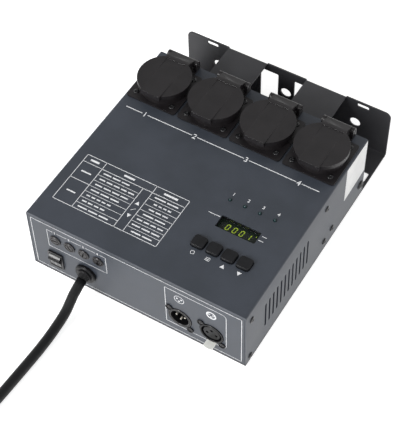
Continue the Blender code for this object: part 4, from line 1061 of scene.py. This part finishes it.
def makeRockerMarks():
    surfaces["rockerUpper"], surfaces["rockerLower"] = onRocker(1), onRocker(-1)
    bm = bmesh.new()
    addFigure(bm, "rockerUpper", "O", (0, 0), rocker["height"])
    addFigure(bm, "rockerLower", "I", (0, 0), rocker["height"])
    marks = toMesh("rocker_marks", bm, "screenInk")
    seat(marks, "rocker", "black_plastic")


makePrints()
makeRockerMarks()
print("print and label made")


# inside

boardThick = 1.6
# limits of the zones on the power board, from its left, front and rear edges
boardSpots = {"coreAlong": 52, "coreBehind": 42, "ahead": 19, "blockAlong": 84, "chokesBehind": 26}
switchRise = 3.2
powerLow, powerHigh = (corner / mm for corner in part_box("power_board"))
powerTop = powerLow.z + boardThick
boardParts = ["solderMask", "stampedLaminations", "terminalNylon", "castEpoxy", "woundCopper", "shrunkSleeve"]


def partOfPowerBoard(middle, normal):
    along, ahead, behind = middle.x - powerLow.x, middle.y - powerLow.y, powerHigh.y - middle.y
    if middle.z < powerTop + 0.05:
        return 0
    if along < boardSpots["coreAlong"] and behind < boardSpots["coreBehind"]:
        return 1
    if ahead < boardSpots["ahead"]:
        return 2 if along < boardSpots["blockAlong"] else 3
    return 4 if behind < boardSpots["chokesBehind"] else 5


def partOfControlBoard(middle, normal):  # switches above the board, controller and header below
    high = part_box("control_board")[1]
    above = high.z / mm - switchRise
    return 0 if above - boardThick - 0.05 < middle.z < above + 0.05 else 1


finishedCopy("power_board", boardParts, "board", 0, zone=partOfPowerBoard)
finishedCopy("control_board", ["solderMask", "castEpoxy"], "board", 0, zone=partOfControlBoard)
finishedCopy("heat_sink", "extrudedAluminium", "aluminium", 0.2, 1)
for number in channels:
    finishedCopy(f"triac_{number}", "castEpoxy", "dark_plastic", 0.15, 1)

# plug

plugShape = {
    "length": 52, "body": 34, "radius": 18.6, "groove": 3.0, "rings": 5, "firstRing": 2.4, "ringPitch": 2.9,
    "ring": ((4.9, 0), (6.9, 0), (7.3, 0.4), (7.3, 1.0), (6.9, 1.4), (4.9, 1.4)),
}
plugLow, plugHigh = (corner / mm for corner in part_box("mains_plug"))
plugMiddle = ((plugLow.x + plugHigh.x) / 2, (plugLow.z + plugHigh.z) / 2)


def metalOfPlug(middle, normal):  # two pins, and an earth strip in each side groove
    ahead = middle.y - plugLow.y
    if ahead > plugShape["length"] + 0.05:
        return 1
    inGroove = abs(middle.x - plugMiddle[0]) < plugShape["groove"] and ahead > plugShape["body"]
    deep = abs(middle.z - plugMiddle[1]) < plugShape["radius"] - 1.5
    return 1 if inGroove and deep and abs(normal.z) > 0.9 else 0


plugCoats = ["mouldedRubber", "satinNickel"]
plug = finishedCopy("mains_plug", plugCoats, "rubber", 0.5, 2, 40, metalOfPlug)


def makeNeckRings():  # flexible ribs where the cord enters the plug
    bm = bmesh.new()
    for index in range(plugShape["rings"]):
        along = plugShape["firstRing"] + plugShape["ringPitch"] * index
        addTurned(bm, plugShape["ring"], 28, "Y", (plugMiddle[0], plugLow.y + along, plugMiddle[1]))
    return seat(toMesh("plug_ribs", bm, "mouldedRubber"), "case", "rubber")


# half the tape's width, then for each side of it what it adds across and up, and its corner
tieShape = {"half": 6, "outer": (0.9, -0.5, 5.4), "hollow": (-0.9, -2.3, 4.5)}


def makeTie():  # a flat tape round the four runs of the coil
    s = cordRoute
    near, far = (coilInner() + s["coilSpacing"] * share for share in (0.5, 1.5))
    middle = (s["coilMiddle"][1] - (near + far) / 2, (s["diameter"] + s["coilSpacing"]) / 2)
    size = s["coilSpacing"] + s["diameter"]
    outer, hollow = (roundedRectangle(middle, (size + across, size + up), corner)
                     for across, up, corner in (tieShape["outer"], tieShape["hollow"]))
    bm = bmesh.new()
    rings = []
    half = tieShape["half"]
    for x, outline in ((-half, hollow), (-half, outer), (half, outer), (half, hollow)):
        rings.append([bm.verts.new(Vector((s["coilMiddle"][0] + x, y, z)) * mm) for y, z in outline])
    for first, second in zip(rings, rings[1:] + rings[:1]):
        for index in range(len(outer)):
            after = (index + 1) % len(outer)
            bm.faces.new((first[index], first[after], second[after], second[index]))
    bmesh.ops.recalc_face_normals(bm, faces=bm.faces)
    return seat(toMesh("coil_tie", bm, "wovenTape"), "case", "rubber")


plugRings = makeNeckRings()
tie = makeTie()
print("cord made")


# floor, light

studio = {
    "floor": "#F4F4F4", "floorHalf": 4000, "floorHeights": (-20, -0.05),
    "floorSeen": 0.6, "floorMirrored": 0.6, "skyLow": 1.0, "skyHigh": 0.42,
}

# place, target, size, power
lights = {
    "keyLight": ((1.0, -1.3, 1.3), (0, 0, 0.03), (1.2, 1.2), 9.0),
    "fillLight": ((-1.5, -0.6, 1.2), (0, 0, 0.03), (1.4, 1.4), 5.0),
    "backLight": ((0.3, 1.6, 1.5), (0, 0, 0.03), (1.4, 1.0), 2.0),
    "edgeLight": ((-0.85, -1.9, 1.25), (0, 0, 0.06), (0.7, 0.9), 31.0),
}


def makeFloor():
    bm = bmesh.new()
    half = studio["floorHalf"]
    addPrism(bm, rectangle(-half, half, -half, half), *studio["floorHeights"])
    toMesh("studio_floor", bm, "paintedFloor")


def paintFloor():  # matt, and lit by itself where the camera or a mirror sees it
    plain = {"Specular IOR Level": 0.0, "Emission Color": (1, 1, 1, 1)}
    tree, shader = startMaterial("paintedFloor", studio["floor"], 0.9, **plain)
    rays = addNode(tree, "ShaderNodeLightPath").outputs
    either = addNode(tree, "ShaderNodeMath", links={0: rays["Is Glossy Ray"], 1: rays["Is Transmission Ray"]},
                     operation="MAXIMUM")
    mirrored = addNode(tree, "ShaderNodeMath", {1: studio["floorMirrored"]}, {0: either.outputs["Value"]},
                       operation="MULTIPLY")
    seen = addNode(tree, "ShaderNodeMath", {1: studio["floorSeen"]},
                   {0: rays["Is Camera Ray"], 2: mirrored.outputs["Value"]}, operation="MULTIPLY_ADD")
    tree.links.new(seen.outputs["Value"], shader.inputs["Emission Strength"])


def areaLight(name, place, target, size, power):
    light = bpy.data.lights.new(name, "AREA")
    light.shape = "RECTANGLE"
    light.size, light.size_y = size
    light.energy = power
    item = newObject(name, light)
    direction = Vector(target) - Vector(place)
    item.matrix_world = Matrix.Translation(place) @ direction.to_track_quat("-Z", "Y").to_matrix().to_4x4()


def makeWorld():  # pale at the horizon, quieter overhead
    world = bpy.data.worlds.new("studio")
    world.use_nodes = True
    bpy.context.scene.world = world
    tree = world.node_tree
    background = tree.nodes["Background"]
    place = addNode(tree, "ShaderNodeTexCoord")
    split = addNode(tree, "ShaderNodeSeparateXYZ", links={"Vector": place.outputs["Generated"]})
    greys = [(level, level, level, 1) for level in (studio["skyLow"], studio["skyHigh"])]
    tree.links.new(addRamp(tree, split.outputs["Z"], greys, (0.1, 0.6)), background.inputs["Color"])


paintFloor()
makeFloor()
makeWorld()
for name, values in lights.items():
    areaLight(name, *values)

bpy.context.scene.view_settings.view_transform = "Standard"
